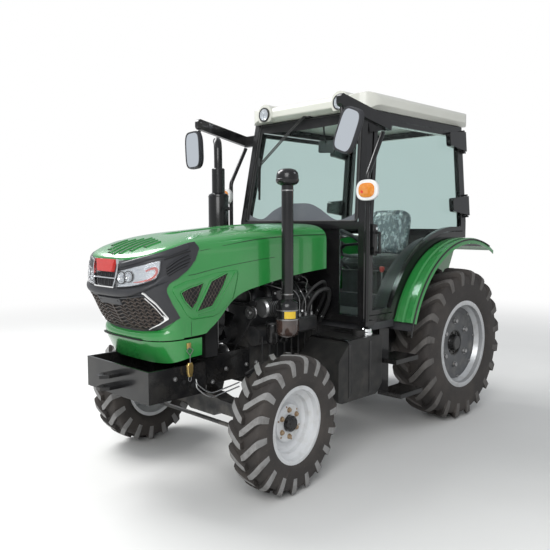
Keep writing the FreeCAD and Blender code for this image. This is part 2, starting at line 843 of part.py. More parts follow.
def bracket_section(side):
    """The bracket between the engine's side and the tank or the battery box."""
    low = q.engine_low + 125.0
    start, end = span(side, q.engine_half, q.tank_inner_y + 1.0)
    return [(start, low), (end, low), (end, low + 60.0), (start, low + 60.0)]


def make_tank():
    """The fuel tank on the left with its filler cap."""
    tank = new_body("fuel_tank")
    rear = q.tank_rear_x
    front = q.tank_front_x
    low = q.tank_low_z
    top = q.tank_top_z
    extrude(tank, "y", [
        (rear, low + 60.0), (rear + 60.0, low, 30.0), (front, low, 40.0), (front, top - 120.0, 40.0),
        (front - 120.0, top, 60.0), (rear, top, 40.0),
    ], q.tank_inner_y, q.tank_outer_y)
    extrude(tank, "z", (rear + 150.0, q.tank_outer_y - 80.0, 42.0), top - 1.0, top + 38.0)
    for x_low in (q.engine_rear + 40.0, front - 130.0):
        extrude(tank, "x", bracket_section(1.0), x_low, x_low + 50.0)


def make_battery_box():
    """The battery box on the right, opposite the tank."""
    case = new_body("battery_box")
    rear = q.tank_rear_x
    low = q.tank_low_z + 60.0
    extrude(case, "y", [
        (rear, low), (rear + 330.0, low, 20.0), (rear + 330.0, q.tank_top_z - 70.0, 30.0),
        (rear, q.tank_top_z - 70.0, 30.0),
    ], -q.tank_outer_y + 60.0, -q.tank_inner_y)
    for x_low in (q.engine_rear + 40.0, rear + 260.0):
        extrude(case, "x", bracket_section(-1.0), x_low, x_low + 50.0)


def make_steps():
    """Two treads below each door on a bent side plate that hangs from the floor."""
    groups = []
    inner_y = q.cab_half + q.step_reach - q.step_width
    outer_y = q.cab_half + q.step_reach
    rear = FENDER_RADIUS - 10.0
    for side, _ in SIDES:
        inner, outer = span(side, inner_y, outer_y)
        treads = []
        for x_low, z_low in ((rear - 90.0, q.step_high_z), (rear - 150.0, q.step_low_z)):
            treads.append(box(x_low, x_low + q.step_depth, inner, outer, z_low,
                              z_low + q.step_metal))
        start, end = span(side, inner_y, inner_y + 10.0)
        plate = box(rear, rear + 110.0, start, end, q.step_low_z, q.gearbox_top)
        groups.append(joined(treads + [plate]))
    finish(together(groups), "steps")


def make_stacks():
    """Air intake on the left and exhaust on the right of the hood."""
    intake = new_body("air_cleaner", q.stack_x, q.stack_y)
    revolve(intake, "z", [
        (0.0, q.stack_low_z), (q.bowl_radius, q.stack_low_z), (q.bowl_radius, q.bowl_top_z),
        (q.stack_radius, q.bowl_top_z + 45.0), (q.stack_radius, q.cap_z), (q.cap_radius, q.cap_z),
        (q.cap_radius, q.cap_z + 45.0), (q.cap_radius - 25.0, q.cap_z + 89.0), (0.0, q.cap_z + 89.0),
    ])
    extrude(intake, "y", (0.0, q.engine_deck - 50.0, 30.0), q.engine_half - q.stack_y, 0.0)
    exhaust = new_body("exhaust", q.muffler_x, -q.muffler_y)
    extrude(exhaust, "y", (0.0, q.engine_deck + 45.0, 32.0), 0.0,
            q.muffler_y - q.engine_half * 0.75)
    revolve(exhaust, "z", [
        (0.0, 1010.0), (45.0, 1010.0), (45.0, 1250.0), (q.muffler_radius, 1280.0),
        (q.muffler_radius, q.muffler_top_z - 20.0), (46.0, q.muffler_top_z), (46.0, 1884.0),
        (0.0, 1884.0),
    ])
    pipe(exhaust, "x", 0.0, [(0.0, 1880.0), (0.0, 2010.0, 70.0), (-80.0, 2080.0)],
         "z", 1880.0, (0.0, 0.0), 30.0)


# Hood and nose


def nose_profile(low, grow=0.0):
    """The hood seen from the side, shrunk by grow, down to a level."""
    back = q.hood_rear_x
    top = q.hood_top_rear - grow
    nose = q.nose_x - grow
    return [
        (back, low), (back, top), (2000.0, top - 34.0, 900.0), (2440.0, top - 105.0, 300.0),
        (nose - 25.0, top - 165.0, 25.0), (nose, q.nose_z, 25.0), (q.support_front - 130.0, low),
    ]


def nose_plan(grow=0.0):
    """The hood seen from above, shrunk by grow."""
    back = q.hood_rear_x
    half = q.hood_half - grow
    nose = q.nose_x - grow
    return [
        (back, -half), (2200.0, -half + 10.0), (2480.0, -half + 30.0, 120.0),
        (nose, -120.0, 300.0), (nose, 120.0, 300.0), (2480.0, half - 30.0, 120.0),
        (2200.0, half - 10.0), (back, half),
    ]


def hood_section(low, grow=0.0):
    """The hood seen from the front, shrunk by grow."""
    half = q.hood_half - grow
    top = q.hood_top_rear - grow
    return [
        (-half, low), (-half, top - 130.0, 70.0), (-half + 70.0, top - 20.0, 70.0), (0.0, top + 6.0, 900.0),
        (half - 70.0, top - 20.0, 70.0), (half, top - 130.0, 70.0), (half, low),
    ]


def hood_block(low, grow):
    """The whole form of hood and nose: what its three views have in common."""
    views = []
    for axis, corners, start, end in (
        ("y", nose_profile(low, grow), -500.0, 500.0),
        ("z", nose_plan(grow), low, 1700.0),
        ("x", hood_section(low, grow), q.hood_rear_x, 2800.0),
    ):
        view = doc.addObject("PartDesign::Body", "View")
        extrude(view, axis, corners, start, end)
        views.append(view)
    return shared(views)


def side_prism(corners):
    """A prism right across the tractor from an outline seen from the side."""
    prism = doc.addObject("PartDesign::Body", "Prism")
    extrude(prism, "y", corners, -700.0, 700.0)
    return prism


def nose_band():
    """The dark nose from the side: from the grille's foot to below the hood's top line."""
    nose = q.nose_x
    top = q.hood_top_rear
    ridge = q.nose_z
    foot = q.grille_foot_z
    return [
        (nose - 444.0, top - 98.0), (nose - 404.0, top - 159.0), (nose - 344.0, top - 232.0),
        (nose - 204.0, ridge + 56.0, 30.0), (nose - 164.0, ridge - 5.0, 60.0), (nose - 208.0, foot),
        (nose + 256.0, foot), (nose + 256.0, top - 196.0), (nose - 4.0, top - 191.0),
        (nose - 84.0, top - 158.0), (nose - 184.0, top - 126.0),
    ]


def ridge_band():
    """The moulding between grille and lamps, from the side."""
    nose = q.nose_x
    ridge = q.nose_z
    return [
        (nose + 256.0, ridge - 26.0), (nose - 20.0, ridge - 26.0), (nose - 170.0, ridge + 48.0),
        (nose - 150.0, ridge + 66.0), (nose - 20.0, ridge + 14.0), (nose + 256.0, ridge + 14.0),
    ]


def front_prism(corners):
    """A prism through the nose from an outline seen from the front."""
    prism = new_body_part()
    extrude(prism, "x", corners, q.nose_x - 344.0, q.nose_x + 256.0)
    return prism


def mouth():
    """The grille's opening, an outline with eight corners seen from the front."""
    ridge = q.nose_z
    foot = q.grille_foot_z + 20.0
    half = [(100.0, ridge - 29.0), (258.0, ridge - 12.0), (305.0, ridge - 128.0), (210.0, foot + 8.0),
            (60.0, foot)]
    return half + [(-y, z) for y, z in reversed(half)]


def lamp(side):
    """A headlamp's outline from the front; it widens outwards and follows the ridge."""
    ridge = q.nose_z
    return [
        (side * 132.0, ridge + 22.0), (side * 318.0, ridge + 76.0), (side * 324.0, ridge + 164.0),
        (side * 132.0, ridge + 112.0),
    ]


def vents():
    """The two openings in each side of the hood, seen from the side."""
    nose = q.nose_x
    ridge = q.nose_z
    return (
        [(nose - 245.0, ridge - 11.0), (nose - 406.0, ridge + 37.0), (nose - 317.0, ridge - 104.0),
         (nose - 258.0, ridge - 50.0)],
        [(nose - 451.0, ridge + 47.0), (nose - 577.0, ridge + 81.0), (nose - 457.0, ridge - 115.0),
         (nose - 348.0, ridge - 123.0)],
    )


def chevrons():
    """Slanted slots in rows and columns, each column leaning against its neighbours."""
    slots = []
    pitch = q.chevron_pitch
    half_length = pitch * 0.42
    tilt = 32.0
    across = half_length * cosine(as_size(tilt))
    drop = half_length * sine(as_size(tilt))
    for row, most in enumerate((3, 4, 4, 4)):
        level = q.grille_foot_z + 56.0 + q.chevron_rise * row
        for column in range(-most, most + 1):
            slot = box(q.nose_x - 344.0, q.nose_x + 256.0, 0.0, half_length * 2.0, -6.5, 6.5)
            lean = 1 if column % 2 else -1
            slot.Placement.Rotation = FreeCAD.Rotation(FreeCAD.Vector(lean, 0, 0), tilt)
            move(slot, q.nose_x - 344.0, pitch * column - across, level - drop * lean)
            slots.append(slot)
    return together(slots)


def louvres():
    """Upright slots in rows for the mesh behind the side vents."""
    return together([
        box(q.nose_x - 562.0 + 22.0 * step, q.nose_x - 551.0 + 22.0 * step, -700.0, 700.0,
            q.nose_z - 116.0 + 52.0 * row, q.nose_z - 76.0 + 52.0 * row)
        for step in range(15)
        for row in range(4)
    ])


def make_hood():
    """Hood, dark nose, chevron grille, lamps and the chin below them, all of one form."""
    low = q.chin_low_z
    inner = hood_block(low - 20.0, q.hood_wall)
    shell = less(hood_block(low, 0.0), inner)
    split = q.chin_split_z
    gap = q.panel_gap / 2
    open_side = side_prism([
        (q.hood_rear_x - 40.0, 500.0), (q.hood_rear_x - 40.0, q.hood_rear_low + 6.0),
        (q.hood_rear_x + 320.0, q.hood_rear_low - 30.0), (1965.0, 1098.0), (2046.0, 1046.0, 80.0),
        (2127.0, 950.0), (2235.0, split + gap), (2235.0, 500.0),
    ])
    under = side_prism([
        (2200.0, 500.0), (2200.0, split + gap), (2900.0, split + gap), (2900.0, 500.0),
    ])
    above = less(less(shell, open_side), under)
    ears = []
    for side, _ in SIDES:
        start, end = span(side, q.hood_pin_y + q.running_gap, q.hood_pin_y + 12.0)
        ear = box(q.hood_pin_x - 14.0, q.hood_pin_x + 14.0, start, end, q.hood_pin_z - 14.0,
                  q.hood_top_rear - q.hood_wall)
        ears.append(less(ear, rod("y", q.hinge_pin_radius + q.running_gap, q.hood_pin_x, start - 5.0,
                                  q.hood_pin_z, 25.0)))
    slats = together([
        box(q.nose_x - 300.0, q.nose_x - 70.0, q.slat_pitch * step - 6.0, q.slat_pitch * step + 6.0,
            q.nose_z + 180.0, q.hood_top_rear)
        for step in range(-3, 4)
    ])
    side_openings = together([side_prism(corners) for corners in vents()])
    hood = joined([less(above, side_prism(nose_band()))] + ears)
    finish(less(less(hood, slats), side_openings), "hood_shell")
    ridge = shared([less(hood_block(low, -10.0), inner), side_prism(ridge_band())])
    nose = shared([above, side_prism(nose_band())])
    openings = together([front_prism(mouth())] + [front_prism(lamp(side)) for side, _ in SIDES])
    finish(less(joined([nose, ridge]), openings), "hood_fascia")
    lamps = [shared([nose, front_prism(lamp(side))]) for side, _ in SIDES]
    finish(together(lamps), "headlamps")
    recessed = less(hood_block(low, 5.0), inner)
    grille = less(shared([recessed, front_prism(mouth())]), chevrons())
    meshes = [less(shared([recessed, side_prism(corners)]), louvres()) for corners in vents()]
    finish(together([grille] + meshes), "hood_grille")
    chin_band = side_prism([
        (2290.0, low - 30.0), (2250.0, split - gap), (2900.0, split - gap), (2900.0, low - 30.0),
    ])
    tabs = [
        box(2330.0, 2380.0, *span(side, q.support_half - 14.0, q.hood_half - 24.0),
            q.support_top, low + 30.0)
        for side, _ in SIDES
    ]
    finish(joined([shared([shell, chin_band])] + tabs), "chin_panel")


# Cab


def cab_outline(inset):
    """The cab from the side, inset by a distance; its lower rear edge follows the fender."""
    front = q.cab_front_x - inset
    rear = q.cab_rear_x + inset
    low = q.sill_z + inset
    top = q.cab_top_z - inset
    axle = q.rear_tyre_radius
    arc = FENDER_RADIUS + q.seal_gap + inset
    rise = sine(q.fender_front_deg)
    run = cosine(q.fender_front_deg)
    return [
        (front, low), (front, q.waist_z), (q.cab_top_front_x - inset * 1.05, top), (rear, top),
        (rear, axle + arc), (arc * (1.0 - rise) / run, axle + arc, arc),
        ((arc - (low - axle) * rise) / run, low),
    ]


def tangent(angle):
    """The tangent of an angle."""
    return sine(angle) / cosine(angle)


def inner_half(level, depth):
    """Half the cab's width at a level, measured to a depth below its bent outer face."""
    lean = q.side_lean_deg
    return q.cab_half - depth / cosine(lean) - (level - q.waist_z) * tangent(lean)


def bent_side(side, build):
    """A side part that is drawn upright and leans inwards above the waist.

    The part is built twice. One copy keeps what is below the waist; the other keeps what
    is above it and turns about the waist line in the cab's outer face.
    """
    reach = q.cab_front_x + 500.0
    wide = q.cab_half * 2.0
    below = box(-reach, reach, -wide, wide, 0.0, q.waist_z + 1.0)
    above = box(-reach, reach, -wide, wide, q.waist_z - 1.0, q.roof_top_z + 500.0)
    low_half = shared([build(), below])
    high_half = shared([build(), above])
    lean = q.side_lean_deg
    high_half.Placement.Rotation = FreeCAD.Rotation(FreeCAD.Vector(side, 0, 0), lean.value)
    bind(high_half, "Placement.Rotation.Angle", lean)
    rest = as_size(1.0) - cosine(lean)
    move(high_half, 0.0, side * (q.cab_half * rest + q.waist_z * sine(lean)),
         q.waist_z * rest - q.cab_half * sine(lean))
    return joined([low_half, high_half])


def make_ring(side):
    """One side of the cab frame: a ring of posts and rails with the door's hinge lugs and pins."""
    ring = new_body_part()
    metal = q.post_metal
    extrude(ring, "y", cab_outline(as_size(0.0)), *span(side, q.cab_half - metal, q.cab_half - 1.0))
    extrude(ring, "y", cab_outline(metal), *span(side, q.cab_half - metal - 5.0, q.cab_half + 5.0),
            cut=True)
    pin = q.hinge_pin_radius
    for level in (q.hinge_low_z, q.hinge_high_z):
        start, end = span(side, q.cab_half - 2.0, HINGE_Y + pin)
        for lug_low in (level - 14.0, level + q.hinge_cover + 2.0):
            extrude(ring, "z", [
                (q.cab_rear_x + 8.0, start), (q.hinge_x + pin, start), (q.hinge_x + pin, end),
                (q.cab_rear_x + 8.0, end),
            ], lug_low, lug_low + 12.0)
        extrude(ring, "z", (q.hinge_x, side * HINGE_Y, pin), level - 10.0,
                level + q.hinge_cover + 10.0)
    return ring


def make_cab_frame():
    """The welded cab frame: a bent ring on each side, cross rails and the mirrors' roots."""
    metal = q.post_metal
    parts = [bent_side(side, lambda side=side: make_ring(side)) for side, _ in SIDES]
    top = q.cab_top_z
    for x_low, x_high, z_low in (
        (q.cab_top_front_x - 60.0, q.cab_top_front_x - 5.0, top - metal),
        (q.cab_rear_x, q.cab_rear_x + metal, top - metal),
        (q.cab_rear_x, q.cab_rear_x + metal, REAR_RAIL_Z),
        (q.cab_front_x - metal, q.cab_front_x, q.waist_z - metal),
        (q.cab_front_x - metal, q.cab_front_x, q.sill_z),
    ):
        half = inner_half(z_low + metal, metal / 2) if z_low.value > q.waist_z.value else (
            q.cab_half - metal / 2)
        parts.append(box(x_low, x_high, -half, half, z_low, z_low + metal))
    for side, _ in SIDES:
        start, end = span(side, inner_half(q.mirror_high_z, metal / 2), q.cab_half + q.rail_stand)
        parts.append(box(q.cab_top_front_x - 30.0, q.cab_top_front_x + 12.0, start, end,
                         q.mirror_high_z - 88.0, q.mirror_high_z - 8.0))
    finish(joined(parts), "cab_frame")


def make_cab_panels():
    """The fire wall with the two low front windows cut, and the wall behind the seat."""
    x_high = q.cab_front_x - 10.0
    front = box(x_high - 8.0, x_high, -380.0, 380.0, q.sill_z + q.post_metal,
                q.waist_z - q.post_metal)
    brackets = []
    for side, _ in SIDES:
        start, end = span(side, q.hood_pin_y - 12.0, q.hood_pin_y)
        brackets.append(box(x_high, q.hood_pin_x + 12.0, start, end, q.hood_pin_z - 46.0,
                            q.hood_pin_z - 10.0))
        brackets.append(box(q.hood_pin_x - 12.0, q.hood_pin_x + 12.0, start, end,
                            q.hood_pin_z - 46.0, q.hood_pin_z + 12.0))
        start, end = span(side, q.hood_pin_y - 6.0, q.hood_pin_y + 14.0)
        brackets.append(rod("y", q.hinge_pin_radius, q.hood_pin_x, start, q.hood_pin_z, 20.0))
    x_low = q.cab_rear_x + 10.0
    rear = box(x_low, x_low + 8.0, -q.fender_inner_y, q.fender_inner_y, q.gearbox_top + 10.0,
               REAR_RAIL_Z)
    finish(together([joined([front] + brackets), rear]), "cab_panels")


def make_cab_floor():
    """The floor between the fenders, the seat's platform and the seat's own mount."""
    half = q.cab_half - 1.0
    foot = box(FENDER_RADIUS - 22.0, q.cab_front_x - q.post_metal, -half, half, q.gearbox_top,
               q.sill_z)
    rear = box(q.cab_rear_x + 20.0, FENDER_RADIUS - 22.0, -q.fender_inner_y,
               q.fender_inner_y, q.gearbox_top, q.sill_z)
    platform = box(q.cab_rear_x + 20.0, 470.0, -300.0, 300.0, q.sill_z, q.sill_z + 110.0)
    mount = box(q.seat_x - 190.0, q.seat_x + 190.0, -170.0, 170.0, q.sill_z + 110.0,
                q.seat_z - q.running_gap)
    finish(joined([foot, rear, platform, mount]), "cab_floor")


def make_cab_glass():
    """The fixed panes: windscreen, rear window and the two low front windows."""
    gap = q.running_gap
    pane = q.pane_metal
    depth = q.post_metal + gap
    top = q.cab_top_z - depth
    waist = q.waist_z + gap
    rail = REAR_RAIL_Z + depth
    upright = q.cab_half - depth
    screen = new_body_part()
    extrude(screen, "y", [
        (q.cab_front_x - 12.0, waist), (q.cab_front_x - 12.0 - pane, waist),
        (q.cab_top_front_x - 12.0 - pane, top), (q.cab_top_front_x - 12.0, top),
    ], -q.cab_half, q.cab_half)
    front_view = new_body_part()
    extrude(front_view, "x", [
        (-inner_half(waist, depth), waist), (-inner_half(top, depth), top),
        (inner_half(top, depth), top), (inner_half(waist, depth), waist),
    ], q.cab_top_front_x - 100.0, q.cab_front_x + 100.0)
    rear = new_body_part()
    extrude(rear, "x", [
        (-upright, rail), (-upright, q.waist_z), (-inner_half(top, depth), top),
        (inner_half(top, depth), top), (upright, q.waist_z), (upright, rail),
    ], q.cab_rear_x + 20.0, q.cab_rear_x + 20.0 + pane)
    front_x = q.cab_front_x - 16.0
    low = [
        box(front_x, front_x + pane, *span(side, 380.0 + gap, upright), q.sill_z + depth,
            q.waist_z - depth)
        for side, _ in SIDES
    ]
    finish(together([shared([screen, front_view]), rear] + low), "cab_glass")


def make_roof():
    """The roof: what an arched side view, a rounded plan and a crowned front view share."""
    front = q.roof_front_x
    rear = q.roof_rear_x
    half = inner_half(q.cab_top_z, as_size(0.0)) + q.roof_overhang
    low = q.cab_top_z + q.running_gap
    top = q.roof_top_z
    edge = low + q.roof_edge
    views = []
    for axis, corners, start, end in (
        ("y", [
            (rear + 30.0, low), (rear, low + 28.0), (rear, edge, 30.0), (rear + 430.0, top, 900.0),
            (front - 420.0, top - 20.0, 500.0), (front, edge + 8.0, 40.0), (front, low + 24.0, 12.0),
            (front - 50.0, low),
        ], -half, half),
        ("z", [
            (rear, -half, 90.0), (front - 60.0, -half, 150.0), (front, -half * 0.72, 150.0),
            (front, half * 0.72, 150.0), (front - 60.0, half, 150.0), (rear, half, 90.0),
        ], low, top),
        ("x", [
            (30.0 - half, low), (-half, low + 28.0, 12.0), (-half, edge + 12.0, 35.0),
            (0.0, top + 40.0, 500.0), (half, edge + 12.0, 35.0), (half, low + 28.0, 12.0),
            (half - 30.0, low),
        ], rear, front),
    ):
        view = new_body_part()
        extrude(view, axis, corners, start, end)
        views.append(view)
    humps = [
        rod("x", q.roof_lamp_radius + 22.0, front - 180.0, side * q.roof_lamp_y, q.roof_lamp_z,
            180.0 + 4.0)
        for side, _ in SIDES
    ]
    under = box(rear - 50.0, front + 50.0, -half, half, low - 200.0, low)
    finish(less(joined([shared(views)] + humps), under), "roof")


def make_fender(side, word):
    """A fender: the arc over the tyre with two raised bands, its lip and the inner wall."""
    fender = new_body(f"fender_{word}", 0.0, 0.0, q.rear_tyre_radius)
    inner = q.fender_inner_y
    outer = q.fender_outer_y
    metal = q.fender_metal
    radius = FENDER_RADIUS
    rib = q.fender_rib
    skirt = radius * 0.46
    groove = (q.cab_half + outer) / 2
    fender.Placement.Rotation = FreeCAD.Rotation(FreeCAD.Vector(0, 1, 0), 90)
    revolve(fender, "y", [
        (skirt, side * inner), (radius, side * inner), (radius, side * (q.cab_half + 5.0)),
        (radius + rib, side * (q.cab_half + 15.0)), (radius + rib, side * (groove - 14.0)),
        (radius, side * (groove - 5.0)), (radius, side * (groove + 5.0)),
        (radius + rib, side * (groove + 14.0)), (radius + rib, side * (outer - 22.0)),
        (radius - 6.0, side * (outer - 6.0)), (radius - 34.0, side * outer),
        (radius - 34.0, side * (outer - metal)), (radius - 10.0, side * (outer - metal - 8.0)),
        (radius - metal, side * (outer - 34.0)), (radius - metal, side * (inner + metal)),
        (skirt, side * (inner + metal)),
    ], q.fender_sweep_deg)
    bind(fender, "Placement.Rotation.Angle", -(q.fender_from_deg + q.fender_sweep_deg))
    return fender


def door_ring(side):
    """A door's frame before it is bent: ring, hinge covers and the latch's housing."""
    frame = new_body_part()
    extrude(frame, "y", cab_outline(q.post_metal + q.door_gap),
            *span(side, q.cab_half - q.door_metal, q.cab_half + 6.0))
    inset = q.post_metal + q.door_gap + q.door_metal
    extrude(frame, "y", cab_outline(inset),
            *span(side, q.cab_half - q.door_metal - 5.0, q.cab_half + 10.0), cut=True)
    for level in (q.hinge_low_z, q.hinge_high_z):
        extrude(frame, "y", [
            (q.hinge_x - 10.0, level), (q.hinge_x + 230.0, level + 30.0, 20.0),
            (q.hinge_x + 230.0, level + q.hinge_cover - 20.0, 20.0),
            (q.hinge_x - 10.0, level + q.hinge_cover),
        ], *span(side, q.cab_half + 5.0, q.cab_half + 42.0))
        extrude(frame, "z", (q.hinge_x, side * HINGE_Y, q.hinge_pin_radius + q.running_gap),
                level - 5.0, level + q.hinge_cover + 5.0, cut=True)
    front = q.cab_front_x - q.post_metal - q.door_gap
    extrude(frame, "y", [
        (front - 4.0, 1340.0, 10.0), (front - 4.0, 1490.0, 10.0), (front - 50.0, 1490.0, 10.0),
        (front - 62.0, 1340.0, 10.0),
    ], *span(side, q.cab_half + 5.0, q.cab_half + 26.0))
    return frame


def door_pane(side):
    """A door's glass before it is bent."""
    glass = new_body_part()
    inset = q.post_metal + q.door_gap + q.door_metal + q.running_gap
    depth = q.cab_half - q.door_metal + 12.0
    extrude(glass, "y", cab_outline(inset), *span(side, depth, depth + q.pane_metal))
    return glass


def make_door(side, word):
    """A door hinged at its rear edge, bent at the waist like the cab's side."""
    finish(bent_side(side, lambda: door_ring(side)), f"door_frame_{word}")
    finish(bent_side(side, lambda: door_pane(side)), f"door_glass_{word}")


def make_cab_inside():
    """Seat, dash with its column, levers and pedals."""
    seat = new_body("seat")
    half = 225.0
    x = q.seat_x
    z = q.seat_z
    extrude(seat, "y", [
        (x - 230.0, z), (x + 250.0, z, 20.0), (x + 250.0, z + 110.0, 40.0), (x - 120.0, z + 100.0, 40.0),
        (x - 190.0, z + 500.0, 40.0), (x - 290.0, z + 500.0, 40.0),
    ], -half, half)
    dash = new_body_part()
    wheel_x = q.column_x
    wheel_z = q.column_z
    extrude(dash, "y", [
        (q.cab_front_x - q.post_metal, q.sill_z),
        (q.cab_front_x - q.post_metal, q.waist_z - 120.0, 40.0),
        (860.0, q.waist_z - 130.0, 60.0), (820.0, 1180.0), (880.0, 1000.0), (900.0, q.sill_z),
    ], -170.0, 170.0)
    tilt = q.column_tilt_deg
    reach = q.column_shaft + q.running_gap
    length = q.column_tube
    column = rod("z", 34.0, wheel_x + sine(tilt) * (reach + length), 0.0,
                 wheel_z - cosine(tilt) * (reach + length), length)
    column.Placement.Rotation = FreeCAD.Rotation(FreeCAD.Vector(0, 1, 0), -tilt.value)
    finish(joined([dash, column]), "dash_console")
    levers = [
        rod("z", 8.0, 560.0, y, q.sill_z, length)
        for y, length in ((-330.0, 330.0), (-250.0, 280.0), (330.0, 300.0))
    ]
    knobs = [
        rod("z", 22.0, 560.0, y, q.sill_z + length, 40.0)
        for y, length in ((-330.0, 330.0), (-250.0, 280.0), (330.0, 300.0))
    ]
    finish(together([joined([lever, knob]) for lever, knob in zip(levers, knobs)]),
           "control_levers")


def make_steering_wheel():
    """The steering wheel: ring, three spokes and hub on the tilted column."""
    wheel = new_body("steering_wheel", q.column_x, 0.0, q.column_z)
    ring = q.wheel_ring_radius
    revolve(wheel, "z", [
        (ring - 14.0, -10.0), (ring - 6.0, -14.0), (ring + 6.0, -14.0), (ring + 14.0, 0.0),
        (ring + 6.0, 14.0), (ring - 6.0, 14.0), (ring - 14.0, 8.0),
    ])
    extrude(wheel, "z", (0.0, 0.0, 48.0), -20.0, 12.0)
    spoke = extrude(wheel, "z", [(0.0, -18.0), (ring, -12.0), (ring, 12.0), (0.0, 18.0)], -8.0, 6.0)
    around(wheel, [spoke], 3.0, "Z_Axis")
    extrude(wheel, "z", (0.0, 0.0, 24.0), -q.column_shaft, -10.0)
    wheel.Placement.Rotation = FreeCAD.Rotation(FreeCAD.Vector(0, 1, 0), -q.column_tilt_deg.value)


def make_trim():
    """Hand rails, mirror arms, mirror heads and lamps."""
    rails = []
    heads = []
    lamps = []
    stand = q.cab_half + q.rail_stand
    root = q.mirror_high_z - 88.0
    for side, _ in SIDES:
        y = side * stand
        rail = new_body_part()
        pipe(rail, "y", -y, [
            (q.rail_x, q.sill_z + 30.0), (q.rail_x, 1800.0, 100.0), (q.cab_top_front_x, root - 10.0),
        ], "z", q.sill_z + 30.0, (q.rail_x, y), q.rail_radius)
        foot = box(q.cab_front_x - 40.0, q.rail_x + 10.0, *span(side, q.cab_half - 1.0, stand),
                   q.sill_z, q.sill_z + 32.0)
        arm = new_body_part()
        extrude(arm, "y", [
            (q.cab_top_front_x - 45.0, root + 2.0), (q.mirror_x + 30.0, root + 100.0, 25.0),
            (q.mirror_x + 30.0, root + 175.0, 25.0), (q.cab_top_front_x - 45.0, root + 78.0),
        ], *span(side, stand, stand + 35.0))
        rails.append(joined([rail, foot, arm]))
        head = new_body_part()
        extrude(head, "x", [
            (side * (stand - 15.0), q.mirror_low_z, 40.0), (side * (stand + 165.0), q.mirror_low_z, 40.0),
            (side * (stand + 165.0), q.mirror_high_z, 40.0), (side * (stand - 15.0), q.mirror_high_z, 40.0),
        ], q.mirror_x - 30.0, q.mirror_x + 30.0)
        heads.append(head)
        marker = new_body_part()
        middle = side * (stand + 30.0)
        wide = q.marker_width / 2
        high = q.marker_height / 2
        low_x = q.rail_x + q.rail_radius + q.running_gap
        extrude(marker, "x", [
            (middle - wide, q.marker_z - high, 55.0), (middle + wide, q.marker_z - high, 55.0),
            (middle + wide, q.marker_z + high, 55.0), (middle - wide, q.marker_z + high, 55.0),
        ], low_x, low_x + 50.0)
        lamps.append(marker)
        lamps.append(rod("x", q.roof_lamp_radius, q.roof_front_x + 4.0 + q.running_gap,
                         side * q.roof_lamp_y, q.roof_lamp_z, 12.0))
        back = -(sine(q.tail_lamp_deg) * FENDER_RADIUS)
        top = q.rear_tyre_radius + cosine(q.tail_lamp_deg) * FENDER_RADIUS
        inner = q.fender_inner_y + 60.0
        lamps.append(box(back - 30.0, back, *span(side, inner, inner + 90.0), top + q.running_gap,
                         top + 54.0))
    finish(together(rails), "cab_trim")
    finish(together(heads), "mirror_heads")
    finish(together(lamps), "lamps")


# Hitch


def make_hitch():
    """Three-point hitch: rocker arms, lift rods and lower links form a parallelogram."""
    pin_x = q.link_pin_x
    link_z = q.link_pin_z
    lift_z = q.lift_shaft_z
    metal = q.link_metal
    rod_x = pin_x - q.lift_arm_reach
    ball_x = q.link_eye_radius - q.link_reach
    gap = q.running_gap
    middle = q.link_pin_y
    arms = []
    rods = []
    links = []
    for side, _ in SIDES:
        arm = new_body_part()
        ends = span(side, middle - metal / 2, middle + metal / 2)
        extrude(arm, "y", (pin_x, lift_z, q.lift_shaft_radius + 14.0), *ends)
        extrude(arm, "y", [
            (pin_x, lift_z - 34.0), (pin_x, lift_z + 34.0), (rod_x, lift_z + 18.0),
            (rod_x - 22.0, lift_z, 8.0), (rod_x, lift_z - 18.0),
        ], *ends)
        pin_ends = span(side, middle, middle + metal * 1.5 + 6.0)
        extrude(arm, "y", (rod_x, lift_z, q.lift_pin_radius), *pin_ends)
        arms.append(arm)
        link = new_body_part()
        extrude(link, "y", [
            (pin_x + 26.0, link_z - 26.0, 10.0), (pin_x + 26.0, link_z + 26.0, 10.0),
            (rod_x, link_z + 30.0), (ball_x, link_z + 20.0), (ball_x, link_z - 20.0),
            (rod_x, link_z - 30.0),
        ], *ends)
        extrude(link, "y", (ball_x, link_z, q.link_eye_radius), *ends)
        extrude(link, "y", (rod_x, link_z, q.lift_pin_radius), *pin_ends)
        wide = span(side, middle - metal, middle + metal)
        for x, radius in ((pin_x, q.link_pin_radius + gap), (ball_x, q.link_ball_radius)):
            extrude(link, "y", (x, link_z, radius), *wide, cut=True)
        links.append(link)
        lifter = new_body_part()
        rod_ends = span(side, middle + metal / 2 + gap, middle + metal * 1.5)
        for level in (link_z, lift_z):
            extrude(lifter, "y", (rod_x, level, q.lift_pin_radius + 12.0), *rod_ends)
        extrude(lifter, "y", [
            (rod_x - 11.0, link_z), (rod_x + 11.0, link_z), (rod_x + 11.0, lift_z),
            (rod_x - 11.0, lift_z),
        ], *rod_ends)
        wide = span(side, middle, middle + metal * 2)
        for level in (link_z, lift_z):
            extrude(lifter, "y", (rod_x, level, q.lift_pin_radius + gap), *wide, cut=True)
        rods.append(lifter)
    shaft = rod("y", q.lift_shaft_radius, pin_x, -middle, lift_z, middle * 2)
    finish(joined(arms + [shaft]), "lift_arms")
    finish(together(rods), "lift_rods")
    finish(together(links), "lower_links")
    make_top_link()
    bar = box(-620.0, 250.0, -40.0, 40.0, q.gearbox_low - 30.0, q.gearbox_low)
    hole = rod("z", q.drawbar_bore, -580.0, 0.0, q.gearbox_low - 60.0, 80.0)
    finish(less(bar, hole), "drawbar")


